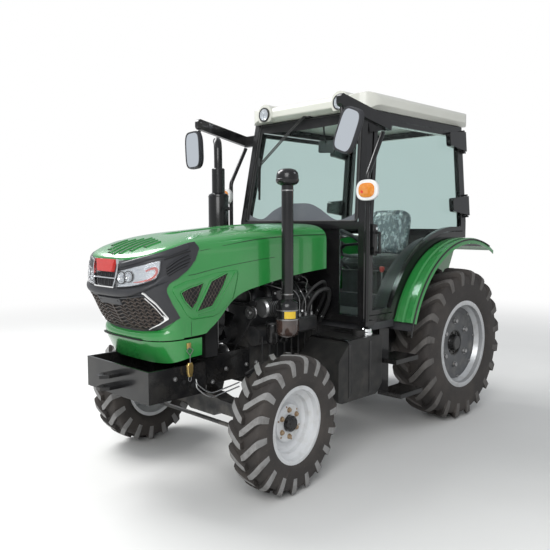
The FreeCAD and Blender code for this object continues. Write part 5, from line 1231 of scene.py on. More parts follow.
def make_latch():
    """The brass latch of the hood on each side: a plate, a wire loop, a rod and a pull."""
    latch = Mould()
    for side, _ in SIDES:
        y = side * 0.337
        latch.block((2.33, min(y, y + side * 0.006), 0.82), (2.358, max(y, y + side * 0.006), 0.852),
                    0.002, 0)
        wire = [(x, y + side * off, z) for x, off, z in ((2.344, 0.008, 0.826), (2.362, 0.01, 0.812),
                (2.352, 0.01, 0.796), (2.341, 0.01, 0.786), (2.33, 0.01, 0.798), (2.322, 0.01, 0.812),
                (2.344, 0.008, 0.826))]
        latch.tube(through(wire, 36), 0.0022, 1, LEFT, 8)
        latch.tube([(2.341, y + side * 0.01, z) for z in np.linspace(0.79, 0.742, 6)], 0.0022, 1, AHEAD,
                   8)
        body = [(-0.012, 0.742), (0.012, 0.742), (0.02, 0.728), (0.018, 0.69), (0.01, 0.665),
                (-0.01, 0.665), (-0.018, 0.69), (-0.02, 0.728)]
        latch.plate([(2.34 + x, z) for x, z in body], "y", y + side * 0.004 - 0.009,
                    y + side * 0.004 + 0.009, 0.003, 0)
        ring = [(2.34 + 0.009 * math.sin(a), y + side * 0.004, 0.654 + 0.016 * math.cos(a))
                for a in np.linspace(0, 2 * math.pi, 24)]
        latch.tube(ring, 0.0022, 1, LEFT, 8)
    latch.piece("hood_latch", "chassis", "brass bare_steel", "steel", 35.0)


# Cab

SCREEN_X, SCREEN_FOOT, SCREEN_LEAN = 1.108, 1.506, 0.14986
FLOOR_TOP = 0.838
INTAKE_X, INTAKE_Y = 1.69, 0.455
ARCH_Z = 0.574
DOOR_LEAN = math.radians(4.2)


def on_screen(y, z, lift=0.0):
    """A point in front of the leaning windscreen."""
    y, z = np.broadcast_arrays(np.asarray(y, float), np.asarray(z, float))
    return np.stack([SCREEN_X + lift - (z - SCREEN_FOOT) * SCREEN_LEAN, y, z], -1)


def screen_half(z):
    """Half the windscreen's width at a height."""
    return 0.532 - (np.asarray(z, float) - SCREEN_FOOT) * 0.0734


def curtain(place, low, high, count=7):
    """A grid between two lines of (y, z), set in space by place(y, z)."""
    share = np.linspace(0, 1, count)[None, :, None]
    low, high = np.asarray(low, float)[:, None], np.asarray(high, float)[:, None]
    flat = low + (high - low) * share
    return place(flat[..., 0], flat[..., 1])


def make_screen():
    """The windscreen's printed border, a near-black top band painted as the shaded roof lining behind the
    glass, seal, wiper and inner mirror.
    """
    mould = Mould()
    hump = [(-0.53, 1.585), (-0.47, 1.545), (-0.355, 1.528), (-0.248, 1.59), (-0.13, 1.63), (0.0, 1.636),
            (0.1, 1.63), (0.188, 1.598), (0.348, 1.519), (0.47, 1.545), (0.53, 1.585)]
    y = np.linspace(-0.53, 0.53, 70)
    high = np.stack([y, height_at(hump, y)], -1)
    low = np.stack([y, np.full(70, 1.502)], -1)
    mould.sheet(curtain(lambda a, b: on_screen(a, b, 0.0045), low, high), 0.0012, 0)
    # Top band: near-black painted shade, standing in for the shaded roof lining seen through the glass.
    half = float(screen_half(2.17))
    low = np.stack([np.linspace(-half, half, 30), 2.178 - 0.02 * np.cos(np.linspace(-1.5, 1.5, 30))], -1)
    high = np.stack([np.linspace(-half, half, 30), np.full(30, 2.236)], -1)
    mould.sheet(curtain(lambda a, b: on_screen(a, b, 0.0045), low, high), 0.0012, 1)
    z = np.linspace(1.506, 2.235, 30)
    for side, _ in SIDES:
        outer = np.stack([side * screen_half(z), z], -1)
        inner = np.stack([side * (screen_half(z) - 0.026), z], -1)
        mould.sheet(curtain(lambda a, b: on_screen(a, b, 0.0052), inner, outer, 4), 0.0012, 1)
    loop = rounded([(-screen_half(1.51), 1.51), (screen_half(1.51), 1.51), (screen_half(2.232), 2.232),
                    (-screen_half(2.232), 2.232)], 0.035, 8)
    seal = on_screen(*np.vstack([loop, loop[:2]]).T, 0.006)
    mould.tube(seal, 0.0065, 2, (1.0, 0.0, 0.15), 8)
    mould.block((1.004, -0.012, 2.236), (1.044, 0.058, 2.284), 0.008, 3)
    for shift in (0.0, 0.016):
        arm = [(1.046, 0.022 - shift * 0.4, 2.262 - shift), (1.052, -0.18, 2.128 - shift),
               (1.064, -0.43, 1.942 - shift)]
        mould.tube(through(arm, 16), 0.0045, 2, AHEAD, 8)
    blade = dense_line(on_screen([-0.446, -0.405], [1.985, 1.672], 0.02), 20)
    mould.rings(carried(blade, [(-0.0045, 0.004), (0.0045, 0.004), (0.0016, -0.014), (-0.0016, -0.014)],
                        (1.0, 0.0, 0.15)), 2)
    spine = dense_line(on_screen([-0.438, -0.413], [1.92, 1.735], 0.027), 10)
    mould.tube(spine, 0.0042, 3, AHEAD, 8)
    mirror = [(0.012, 2.0), (0.172, 1.99), (0.168, 2.082), (0.016, 2.086)]
    mould.plate(rounded(mirror, 0.018, 5), "x", 0.893, 0.913, 0.006, 4)
    mould.plate(rounded([(0.02, 2.007), (0.164, 1.998), (0.16, 2.075), (0.024, 2.079)], 0.014, 5), "x",
                0.8915, 0.8935, 0.0, 5)
    mould.tube([(0.912, 0.09, 2.06), (0.93, 0.09, 2.1), (0.94, 0.09, 2.19)], 0.006, 3, LEFT, 8)
    mould.piece("windscreen_trim", "chassis",
                "frit_print dark_gap rubber_seal black_enamel inner_plastic mirror_glass", "black_metal",
                35.0)


def oval_rings(centre, steps, tilt=0.0, count=40, power=4.0):
    """Rings of a superellipse about X: each step is (x, half across, half upright)."""
    angle = np.arange(count) * 2 * np.pi / count
    c, s = np.cos(angle), np.sin(angle)
    flat = np.stack([np.sign(c) * np.abs(c) ** (2 / power), np.sign(s) * np.abs(s) ** (2 / power)], -1)
    rings = []
    for x, across, upright in steps:
        y, z = (flat * (across, upright)).T
        y, z = y * math.cos(tilt) + z * math.sin(tilt), z * math.cos(tilt) - y * math.sin(tilt)
        rings.append(np.stack([np.full(count, x), y, z], -1) + centre)
    return rings


def make_mirrors():
    """Two big mirrors: a ribbed rounded case, a rim and the glass, rolled outwards on the left."""
    mould = Mould()
    for side, tilt, across, upright in ((1, 0.4, 0.074, 0.132), (-1, -0.05, 0.084, 0.136)):
        centre = (0.0, side * 0.725, 2.036)
        case = [(1.421, across * 0.55, upright * 0.62), (1.424, across * 0.8, upright * 0.86),
                (1.436, across * 0.95, upright * 0.965), (1.456, across, upright),
                (1.474, across, upright), (1.479, across * 0.985, upright * 0.99),
                (1.479, across * 0.9, upright * 0.935), (1.473, across * 0.885, upright * 0.92)]
        mould.rings(oval_rings(centre, case, tilt), 0)
        glass = [(1.4725, across * 0.885, upright * 0.92), (1.476, across * 0.87, upright * 0.91),
                 (1.4772, across * 0.45, upright * 0.45)]
        mould.rings(oval_rings(centre, glass, tilt), 1)
        for x in (1.446, 1.462):
            rib = [(x - 0.0025, across * 1.0, upright * 1.0),
                   (x - 0.0015, across * 1.03, upright * 1.018),
                   (x + 0.0015, across * 1.03, upright * 1.018),
                   (x + 0.0025, across * 1.0, upright * 1.0)]
            mould.rings(oval_rings(centre, rib, tilt), 0)
        mould.tube([(1.452, side * 0.668, 2.1), (1.452, side * 0.672, 2.14),
                    (1.452, side * 0.668, 2.175)], 0.011, 2, AHEAD, 12)
    mirrors = mould.piece("mirror_pair", "chassis", "charcoal_plastic mirror_glass black_enamel",
                          "black_metal", 38.0)
    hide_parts("mirror_heads")


def make_lamps():
    """Side marker lamps, round roof lamps in bezels and tail lamps."""
    mould = Mould()
    for side, _ in SIDES:
        centre = (0.0, side * 0.68, 1.7)
        body = [(1.182, 0.058, 0.04), (1.186, 0.072, 0.054), (1.2, 0.081, 0.0635), (1.216, 0.082, 0.065),
                (1.222, 0.078, 0.061), (1.221, 0.062, 0.047)]
        mould.rings(oval_rings(centre, body, 0.0, 44, 2.7), 0)
        lens = [(1.2205, 0.061, 0.046), (1.2255, 0.058, 0.043), (1.229, 0.04, 0.029),
                (1.23, 0.016, 0.012)]
        mould.rings(oval_rings(centre, lens, 0.0, 40, 2.7), 1)
        mould.rings(oval_rings((0.0, side * 0.65, 1.69), [(1.2255, 0.012, 0.012), (1.2298, 0.01, 0.01),
                               (1.2305, 0.004, 0.004)], 0.0, 20, 2.0), 2)
        mould.tube([(1.165, side * 0.655, 1.7), (1.176, side * 0.665, 1.7), (1.186, side * 0.672, 1.7)],
                   0.01, 3, UP, 10)
        place = (1.089, side * 0.355, 2.292)
        mould.turned([(0.0, -0.001), (0.0515, -0.001), (0.0515, 0.01), (0.049, 0.0125), (0.044, 0.012),
                      (0.042, 0.006), (0.0, 0.004)], place, AHEAD, 40, 3)
        mould.turned([(0.0, 0.0042), (0.0415, 0.0062), (0.041, 0.0085), (0.03, 0.0075), (0.0, 0.005)],
                     place, AHEAD, 36, 4)
        mould.turned([(0.0, 0.0088), (0.0425, 0.0088), (0.042, 0.0105), (0.025, 0.0128), (0.0, 0.0135)],
                     place, AHEAD, 36, 5)
        mould.plate(rounded(oblong(side * 0.445, side * 0.535, 1.316, 1.37), 0.008, 4), "x", -0.316, -0.3,
                    0.003, 3)
        for low, high, slot in ((0.449, 0.498, 2), (0.5, 0.531, 1)):
            mould.plate(rounded(oblong(side * low, side * high, 1.32, 1.366), 0.005, 4), "x", -0.33,
                        -0.315, 0.003, slot)
    lamps = mould.piece("cab_lamps", "chassis",
                        "white_trim amber_lens red_lens rubber_seal reflector lamp_lens", "lamp", 35.0)
    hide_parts("lamps")


def make_intake():
    """The air intake: domed bowl, label, pipe, cap and the ribbed duct to the engine."""
    intake = Mould()
    place = (INTAKE_X, INTAKE_Y, 0.0)
    intake.turned([(0.0, 0.815), (0.03, 0.815), (0.052, 0.823), (0.064, 0.838), (0.0685, 0.856),
                   (0.0685, 0.93), (0.0, 0.93)], place, UP, 48, 1)
    intake.turned(drum(0.0672, 0.9305, 0.98), place, UP, 48, 0)
    swing = np.radians(np.linspace(28.0, 88.0, 24))[:, None]
    height = np.linspace(0.934, 0.976, 5)[None, :]
    swing, height = np.broadcast_arrays(swing, height)
    label = [INTAKE_X + 0.0684 * np.cos(swing), INTAKE_Y + 0.0684 * np.sin(swing), height]
    intake.sheet(np.stack(label, -1), 0.0012, 2)
    intake.turned([(0.0, 0.9805), (0.0685, 0.9805), (0.069, 1.0), (0.0655, 1.018), (0.055, 1.032),
                   (0.042, 1.04), (0.0355, 1.046), (0.0355, 1.72), (0.0, 1.72)], place, UP, 48, 0)
    for z in (0.926, 0.981, 1.075, 1.69):
        wide = 0.0695 if z < 1.0 else 0.0375
        intake.turned([(wide - 0.006, z - 0.004), (wide, z - 0.0035), (wide, z + 0.0035),
                       (wide - 0.006, z + 0.004)], place, UP, 48, 3)
    cap = [(0.0, 1.7205), (0.04, 1.7205), (0.058, 1.728), (0.0665, 1.738), (0.0695, 1.748),
           (0.0695, 1.756), (0.066, 1.759), (0.0665, 1.775), (0.062, 1.795), (0.048, 1.811),
           (0.026, 1.818), (0.0, 1.819)]
    intake.turned(cap, place, UP, 48, 0)
    duct = through([(1.69, 0.4, 0.955), (1.69, 0.33, 0.962), (1.685, 0.25, 0.975), (1.68, 0.168, 0.985)],
                   40)
    wave = 0.033 + 0.003 * np.sin(np.linspace(0, 1, 40) * 2 * np.pi * 9)
    rings = carried(duct, circle(1.0, 20)) - duct[:, None]
    intake.rings(duct[:, None] + rings * wave[:, None, None], 4)
    intake.block((1.64, 0.372, 1.03), (1.74, 0.378, 1.09), 0.002, 0)
    intake.bolts([(1.66, 0.379, 1.075), (1.72, 0.379, 1.075)], LEFT, 0.008, 3)
    air = intake.piece("air_intake", "chassis",
                       "black_enamel smoked_bowl yellow_label bare_steel rubber_seal", "black_metal",
                       32.0)
    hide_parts("air_cleaner")


def make_exhaust():
    """The exhaust: muffler, bent outlet and the pipe down to the manifold."""
    pipe = Mould()
    place = (1.46, -0.45, 0.0)
    pipe.turned([(0.0, 1.222), (0.034, 1.222), (0.046, 1.235), (0.068, 1.25), (0.072, 1.262),
                 (0.072, 1.688), (0.068, 1.7), (0.048, 1.712), (0.0, 1.714)], place, UP, 48, 0)
    for z in (1.262, 1.475, 1.686):
        pipe.turned([(0.068, z - 0.005), (0.0738, z - 0.003), (0.0738, z + 0.003), (0.068, z + 0.005)],
                    place, UP, 48, 0)
    pipe.turned([(0.0, 1.71), (0.046, 1.71), (0.046, 1.88), (0.04, 1.886), (0.0, 1.886)], place, UP, 40,
                0)
    bend = through([(1.46, -0.45, 1.88), (1.46, -0.45, 1.96), (1.456, -0.456, 2.02),
                    (1.444, -0.474, 2.066), (1.428, -0.5, 2.086)], 30)
    pipe.rings(carried(bend, circle(0.029, 24), (1.0, 0.6, 0.0)), 0)
    # Near-black plug inside the outlet: painted shade in the pipe's mouth.
    pipe.rings(carried(bend[-3:] + (bend[-1] - bend[-2]) * 0.6, circle(0.0245, 24), (1.0, 0.6, 0.0)), 1)
    down = through([(1.46, -0.45, 1.23), (1.46, -0.448, 1.13), (1.46, -0.415, 1.065),
                    (1.46, -0.34, 1.046), (1.46, -0.22, 1.045), (1.46, -0.128, 1.045)], 40)
    pipe.tube(down, 0.03, 2, AHEAD, 20)
    for y in (-0.3, -0.14):
        pipe.turned(drum(0.044, -0.006, 0.006), (1.46, y, 1.045), LEFT, 24, 2)
    for z in (1.33, 1.6):
        pipe.block((1.42, -0.385, z - 0.012), (1.5, -0.378, z + 0.012), 0.002, 0)
    stack = pipe.piece("exhaust_stack", "chassis", "black_enamel dark_gap cast_metal", "black_metal",
                       32.0)
    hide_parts("exhaust")


def make_wheel():
    """The steering wheel: a padded ring, three spokes and a hub, square to its column."""
    axis = np.array(axis_of("steering_wheel"))
    axis = axis * np.sign(axis[2])
    side = np.array(LEFT)
    ahead = np.cross(side, axis)
    centre = np.array((0.64, 0.0, 1.33))
    mould = Mould()
    angle = np.linspace(0, 2 * np.pi, 72, endpoint=False)[:, None, None]
    grip = 0.0135 + 0.0012 * np.cos(angle * 24)
    flat = circle(1.0, 16)[None] * grip
    out = ahead * np.cos(angle) + side * np.sin(angle)
    ring = centre + axis * 0.02 + out * (0.195 + flat[..., :1]) + axis * flat[..., 1:]
    mould.take(ring, quads_between(72, 16, True, True), (), 0)
    for turn in (math.radians(90), math.radians(210), math.radians(330)):
        arm = ahead * math.cos(turn) + side * math.sin(turn)
        path = [centre + arm * r + axis * h for r, h in ((0.03, 0.0), (0.1, 0.006), (0.19, 0.02))]
        section = [(-0.013, -0.004), (0.013, -0.004), (0.009, 0.005), (-0.009, 0.005)]
        mould.rings(carried(through(path, 12), section, tuple(axis)), 0)
    hub = [(0.0, -0.024), (0.026, -0.024), (0.04, -0.01), (0.044, 0.006), (0.038, 0.016), (0.02, 0.021),
           (0.0, 0.022)]
    mould.turned(hub, centre, axis, 36, 0)
    mould.turned([(0.0, 0.0215), (0.024, 0.0205), (0.022, 0.024), (0.0, 0.0255)], centre, axis, 28, 1)
    wheel = mould.piece("steering_wheel_ring", "steering_wheel", "inner_plastic charcoal_plastic",
                        "inner_plastic", 40.0)
    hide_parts("steering_wheel")


def make_levers():
    """Control levers with gaiters and knobs."""
    mould = Mould()
    for y, reach in ((-0.33, 0.33), (-0.25, 0.28), (0.33, 0.3)):
        z = np.linspace(FLOOR_TOP, FLOOR_TOP + 0.09, 13)
        wide = np.interp(z, [FLOOR_TOP, FLOOR_TOP + 0.09], [0.022, 0.008]) + 0.0025 * (np.arange(13) % 2)
        boot = [(0.0, FLOOR_TOP)] + list(zip(wide, z)) + [(0.0, FLOOR_TOP + 0.09)]
        mould.turned(boot, (0.56, y, 0.0), UP, 20, 0)
        mould.tube([(0.56, y, k) for k in np.linspace(0.9, FLOOR_TOP + reach, 8)], 0.0065, 1, AHEAD, 10)
        top = FLOOR_TOP + reach
        knob = [(0.0, top - 0.004), (0.01, top - 0.004), (0.017, top + 0.008), (0.021, top + 0.022),
                (0.017, top + 0.036), (0.008, top + 0.04), (0.0, top + 0.04)]
        mould.turned(knob, (0.56, y, 0.0), UP, 24, 2)
    levers = mould.piece("lever_set", "chassis", "rubber_seal bare_steel red_plate", "inner_plastic",
                         35.0)
    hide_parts("control_levers")


def make_dash():
    """The instrument cluster."""
    dash = Mould()
    hood = [(0.985, 1.384), (0.86, 1.386), (0.8, 1.41), (0.8, 1.4), (0.858, 1.376), (0.985, 1.374)]
    dash.plate(hood, "y", -0.155, 0.155, 0.002, 0)
    slope = np.array((-0.5, 0.0, 0.87))
    for y, radius in ((-0.085, 0.038), (0.0, 0.042), (0.085, 0.038)):
        dash.turned([(0.0, 0.0), (radius, 0.0), (radius, 0.006), (radius - 0.004, 0.007),
                     (radius - 0.005, 0.003), (0.0, 0.003)], (0.8, y, 1.372), slope, 32, 0)
        dash.turned([(0.0, 0.0031), (radius - 0.0052, 0.0031), (0.0, 0.005)], (0.8, y, 1.372), slope, 32,
                    1)
    dash.piece("dash_cluster", "chassis", "inner_plastic lamp_lens", "inner_plastic", 35.0)


PAD_TURNS, PAD_ROWS = 44, 23
PAD_VOXEL = 0.006
PAD_PRESSURE = 4.0
PAD_FRAMES = 20
SEAM_WIDTH = 0.01


def pad(low, high, power):
    """A superellipsoid cushion between two corners."""
    low, high = np.asarray(low, float), np.asarray(high, float)
    around = np.arange(PAD_TURNS)[:, None] * 2 * np.pi / PAD_TURNS
    lift = np.linspace(-np.pi / 2, np.pi / 2, PAD_ROWS)[None, :]

    def share(value):
        return np.sign(value) * np.abs(value) ** (2 / power)

    flat = np.stack(np.broadcast_arrays(share(np.cos(around)) * share(np.cos(lift)), share(np.sin(around))
                    * share(np.cos(lift)), share(np.sin(lift))), -1)
    return (low + high) / 2 + flat * (high - low) / 2


def puffed(thing, limit):
    """Fill a pad with air: even mesh, cloth under pressure, no move longer than a limit."""
    scene = bpy.context.scene
    remesh = thing.modifiers.new("remesh", "REMESH")
    remesh.mode = "VOXEL"
    remesh.voxel_size = PAD_VOXEL
    graph = bpy.context.evaluated_depsgraph_get()
    even = bpy.data.meshes.new_from_object(thing.evaluated_get(graph))
    thing.modifiers.clear()
    thing.data = even
    start = np.empty(len(even.vertices) * 3)
    even.vertices.foreach_get("co", start)
    cloth = thing.modifiers.new("cloth", "CLOTH")
    cloth.settings.use_pressure = True
    cloth.settings.uniform_pressure_force = PAD_PRESSURE
    cloth.settings.effector_weights.gravity = 0.0
    for frame_number in range(1, PAD_FRAMES + 1):
        scene.frame_set(frame_number)
    graph = bpy.context.evaluated_depsgraph_get()
    blown = bpy.data.meshes.new_from_object(thing.evaluated_get(graph))
    end = np.empty(len(blown.vertices) * 3)
    blown.vertices.foreach_get("co", end)
    thing.modifiers.clear()
    bpy.data.meshes.remove(blown)
    move = (end - start).reshape(-1, 3)
    length = np.linalg.norm(move, axis=1, keepdims=True)
    move *= np.minimum(1.0, limit / np.maximum(length, 1e-9))
    even.vertices.foreach_set("co", start + move.ravel())
    scene.frame_set(1)
    even.polygons.foreach_set("use_smooth", [True] * len(even.polygons))
    smooth = thing.modifiers.new("subdivision", "SUBSURF")
    smooth.levels = 1
    smooth.render_levels = 1


def channel(points, low, high, lines, depth):
    """Points pulled to the middle plane near sewn lines, by depth * exp(-(y/SEAM_WIDTH)^2)."""
    pull = sum(np.exp(-((points[..., 1] - line) / SEAM_WIDTH) ** 2) for line in lines)
    moved = points.copy()
    moved[..., 2] += ((low + high) / 2 - moved[..., 2]) * np.clip(pull, 0, 1) * depth
    return moved


def make_seat():
    """The driver's seat: a wide base cushion and a film-covered back, both blown up as cloth."""
    for name, finish_name, low, high, turn, lines, slot_name in (("seat_base_pad", "seat_cloth",
            (-0.045, -0.212, 1.128), (0.45, 0.212, 1.236), 0.0, (-0.115, 0.115), "seat_cloth"),
            ("seat_back_pad", "seat_film", (-0.19, -0.205, -0.045), (0.19, 0.205, 0.045), 1.0,
             (-0.12, 0.12), "seat_cloth")):
        mould = Mould()
        body = channel(pad(low, high, 4.5), low[2], high[2], lines, 0.3)
        if turn:
            lean = math.radians(78.0)
            x, y, z = np.moveaxis(body, -1, 0)
            body = np.stack([0.012 - x * math.cos(lean) - z * math.sin(lean), y, 1.42 + x * math.sin(lean)
                             - z * math.cos(lean)], -1)
        mould.take(body, quads_between(*body.shape[:2], True, False))
        piece = mould.piece(name, "chassis", finish_name, slot_name, 60.0)
        puffed(piece, 0.01)
        if not turn:
            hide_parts("seat")
    trim = Mould()
    angle = np.linspace(0, 2 * np.pi, 90, endpoint=False)
    c, s = np.cos(angle), np.sin(angle)
    flat = np.stack([np.sign(c) * np.abs(c) ** 0.44, np.sign(s) * np.abs(s) ** 0.44], -1)
    welt = np.stack([0.2025 + flat[:, 0] * 0.252, flat[:, 1] * 0.218, np.full(90, 1.184)], -1)
    trim.rings(carried(np.vstack([welt, welt[:1]]), circle(0.0042, 8)), 0)
    trim.block((-0.03, -0.19, 1.118), (0.43, 0.19, 1.128), 0.004, 1)
    trim.piece("seat_piping", "chassis", "rubber_seal inner_plastic", "seat_cloth", 40.0)


# Engine bay, tank, steps and hitch


FAN = (1.905, 0.0, 0.95)
ALTERNATOR = (1.74, 0.338, 0.985)
BELT_X, BELT_STEPS = 1.832, 120


def make_engine_bay():
    """Rocker cover, pump with its lines, filters, alternator, belt and fan."""
    mould = Mould()
    mould.block((1.2, -0.085, 1.16), (1.76, 0.085, 1.2), 0.016, 0)
    mould.bolts([(x, y, 1.2) for x in np.linspace(1.24, 1.72, 5) for y in (-0.055, 0.055)], UP, 0.009, 2)
    for x in np.linspace(1.22, 1.74, 9):
        mould.block((x - 0.004, 0.282, 0.62), (x + 0.004, 0.292, 0.8), 0.0015, 0)
    for x in np.linspace(1.245, 1.755, 5):
        port = [(x, 0.16, 1.085), (x, 0.205, 1.08), (x + 0.012, 0.235, 1.055), (x + 0.02, 0.246, 1.02)]
        mould.tube(through(port, 20), 0.018, 0, AHEAD, 14)
        mould.bolts([(x + 0.036, 0.166, 1.118)], LEFT, 0.009, 2)
    mould.tube([(x, 0.25, 1.01) for x in np.linspace(1.225, 1.785, 12)], 0.03, 0, UP, 18)
    mould.block((1.3, 0.282, 0.8), (1.52, 0.352, 0.9), 0.012, 0)
    for index, x in enumerate(np.linspace(1.325, 1.495, 4)):
        mould.turned([(0.0, 0.9), (0.014, 0.9), (0.014, 0.915), (0.008, 0.922), (0.0, 0.93)],
                     (x, 0.318, 0.0), UP, 12, 2)
        line = [(x, 0.318, 0.925), (x + 0.005, 0.322, 0.985 + 0.012 * index), (x + 0.03, 0.3, 1.065),
                (1.27 + 0.13 * index, 0.23, 1.12), (1.27 + 0.13 * index, 0.13, 1.15)]
        mould.tube(through(line, 36), 0.0034, 2, UP, 8)
    z, radius, tall = 0.76, 0.04, 0.12
    for x in (1.6, 1.69):
        mould.turned([(0.0, z), (radius * 0.8, z), (radius, z + 0.012), (radius, z + tall - 0.01),
                      (radius * 0.92, z + tall), (0.0, z + tall)], (x, 0.33, 0.0), UP, 32, 1)
        mould.ring((x, 0.33, z + tall + 0.006), UP, 0.0, radius * 1.08, 0.007, 0)
    mould.turned([(0.0, -0.06), (0.046, -0.056), (0.056, -0.044), (0.056, 0.044), (0.046, 0.056),
                  (0.0, 0.06)], ALTERNATOR, AHEAD, 32, 2)
    for shift in (-0.03, -0.015, 0.0, 0.015, 0.03):
        mould.ring((1.74 + shift, 0.338, 0.985), AHEAD, 0.05, 0.0575, 0.003, 0)
    pulleys = ((0.0, 0.66, 0.075), (0.0, 0.95, 0.062), (0.285, 0.96, 0.038))
    for y, z, radius in pulleys:
        groove = [(0.0, -0.014), (radius, -0.014), (radius - 0.008, -0.002), (radius - 0.008, 0.002),
                  (radius, 0.014), (radius * 0.55, 0.014), (radius * 0.5, 0.006), (0.0, 0.006)]
        mould.turned(groove, (BELT_X, y, z), AHEAD, 36, 2)
        mould.bolts([(1.838, y, z)], AHEAD, 0.014, 2)
    angle = np.linspace(0, 2 * np.pi, BELT_STEPS, endpoint=False)
    places = np.array([(y, z) for y, z, _ in pulleys])
    reach = np.array([radius - 0.003 for _, _, radius in pulleys])
    facing = np.stack([np.sin(angle), np.cos(angle)], -1)
    best = (places @ facing.T + reach[:, None]).argmax(0)
    loop = places[best] + facing * reach[best][:, None]
    belt = np.stack([np.full(BELT_STEPS, BELT_X), loop[:, 0], loop[:, 1]], -1)
    outline = np.array([(-0.0055, -0.004), (0.0055, -0.004), (0.004, 0.004), (-0.004, 0.004)])
    rings = (belt[:, None] + outline[None, :, :1] * np.array(AHEAD) + outline[None, :, 1:]
             * np.concatenate([np.zeros((BELT_STEPS, 1)), facing], 1)[:, None])
    mould.rings(rings, 3, True)
    mould.turned(drum(0.04, -0.02, 0.02), FAN, AHEAD, 28, 2)
    for blade in range(7):
        turn = blade * 2 * math.pi / 7
        out = np.array((0.0, math.sin(turn), math.cos(turn)))
        aside = np.array((0.0, math.cos(turn), -math.sin(turn)))
        r = np.linspace(0.038, 0.195, 10)[:, None, None]
        width = np.linspace(-0.04, 0.04, 6)[None, :, None]
        grid = np.array(FAN) + out * r + aside * width + np.array(AHEAD) * 0.45 * width
        mould.sheet(grid, 0.003, 1)
    mould.ring((2.005, 0.0, 0.95), AHEAD, 0.205, 0.214, 0.028, 1, 64)
    for y in np.linspace(-0.215, 0.215, 30):
        mould.block((2.0305, y - 0.002, 0.76), (2.0345, y + 0.002, 1.2), 0.0008, 2)
    mould.piece("engine_dressing", "chassis", "cast_metal black_enamel bare_steel rubber_seal",
                "engine_paint", 35.0)


def make_hoses():
    """Hoses with their clamps, and two bright pipes a side to the front axle."""
    lines = Mould()
    hoses = (([(1.8, 0.06, 1.12), (1.87, 0.09, 1.165), (1.95, 0.12, 1.19), (2.036, 0.12, 1.18)], 0.022),
             ([(1.8, -0.06, 0.64), (1.88, -0.09, 0.68), (1.96, -0.12, 0.78), (2.036, -0.13, 0.79)],
              0.022), ([(1.15, 0.24, 0.83), (1.17, 0.33, 0.96), (1.215, 0.372, 1.06), (1.3, 0.352, 1.045),
                        (1.35, 0.32, 0.96), (1.355, 0.3, 0.87)], 0.014),
             ([(1.15, 0.2, 0.86), (1.175, 0.3, 1.01), (1.235, 0.352, 1.11), (1.32, 0.33, 1.075),
               (1.385, 0.306, 0.99), (1.4, 0.3, 0.905)], 0.011),
             ([(1.14, 0.15, 1.02), (1.24, 0.262, 1.07), (1.42, 0.286, 1.05), (1.56, 0.33, 0.96),
               (1.6, 0.335, 0.89)], 0.006), ([(1.9, 0.308, 0.6), (1.82, 0.33, 0.64), (1.65, 0.335, 0.66),
             (1.48, 0.31, 0.61), (1.3, 0.3, 0.59), (1.15, 0.3, 0.56)], 0.007))
    for knots, radius in hoses:
        path = through(knots, 50)
        lines.tube(path, radius, 0, (0.2, 0.1, 1.0) if radius > 0.02 else (1.0, 0.3, 0.2), 14)
        if radius > 0.01:
            for end in (3, 46):
                along = path[end + 1] - path[end - 1]
                lines.ring(path[end], along, radius - 0.003, radius + 0.0025, 0.006, 1, 24)
    for y in (0.323, -0.323):
        for drop in (0.0, 0.024):
            pipe = [(2.285, y, 0.64 - drop), (2.268, y, 0.602 - drop), (2.18, y, 0.543 - drop),
                    (2.08, y, 0.548 - drop), (1.965, y, 0.563 - drop)]
            lines.tube(through(pipe, 36), 0.0042, 1, LEFT, 10)
    lines.piece("hose_set", "chassis", "rubber_seal chrome", "tyre", 40.0)


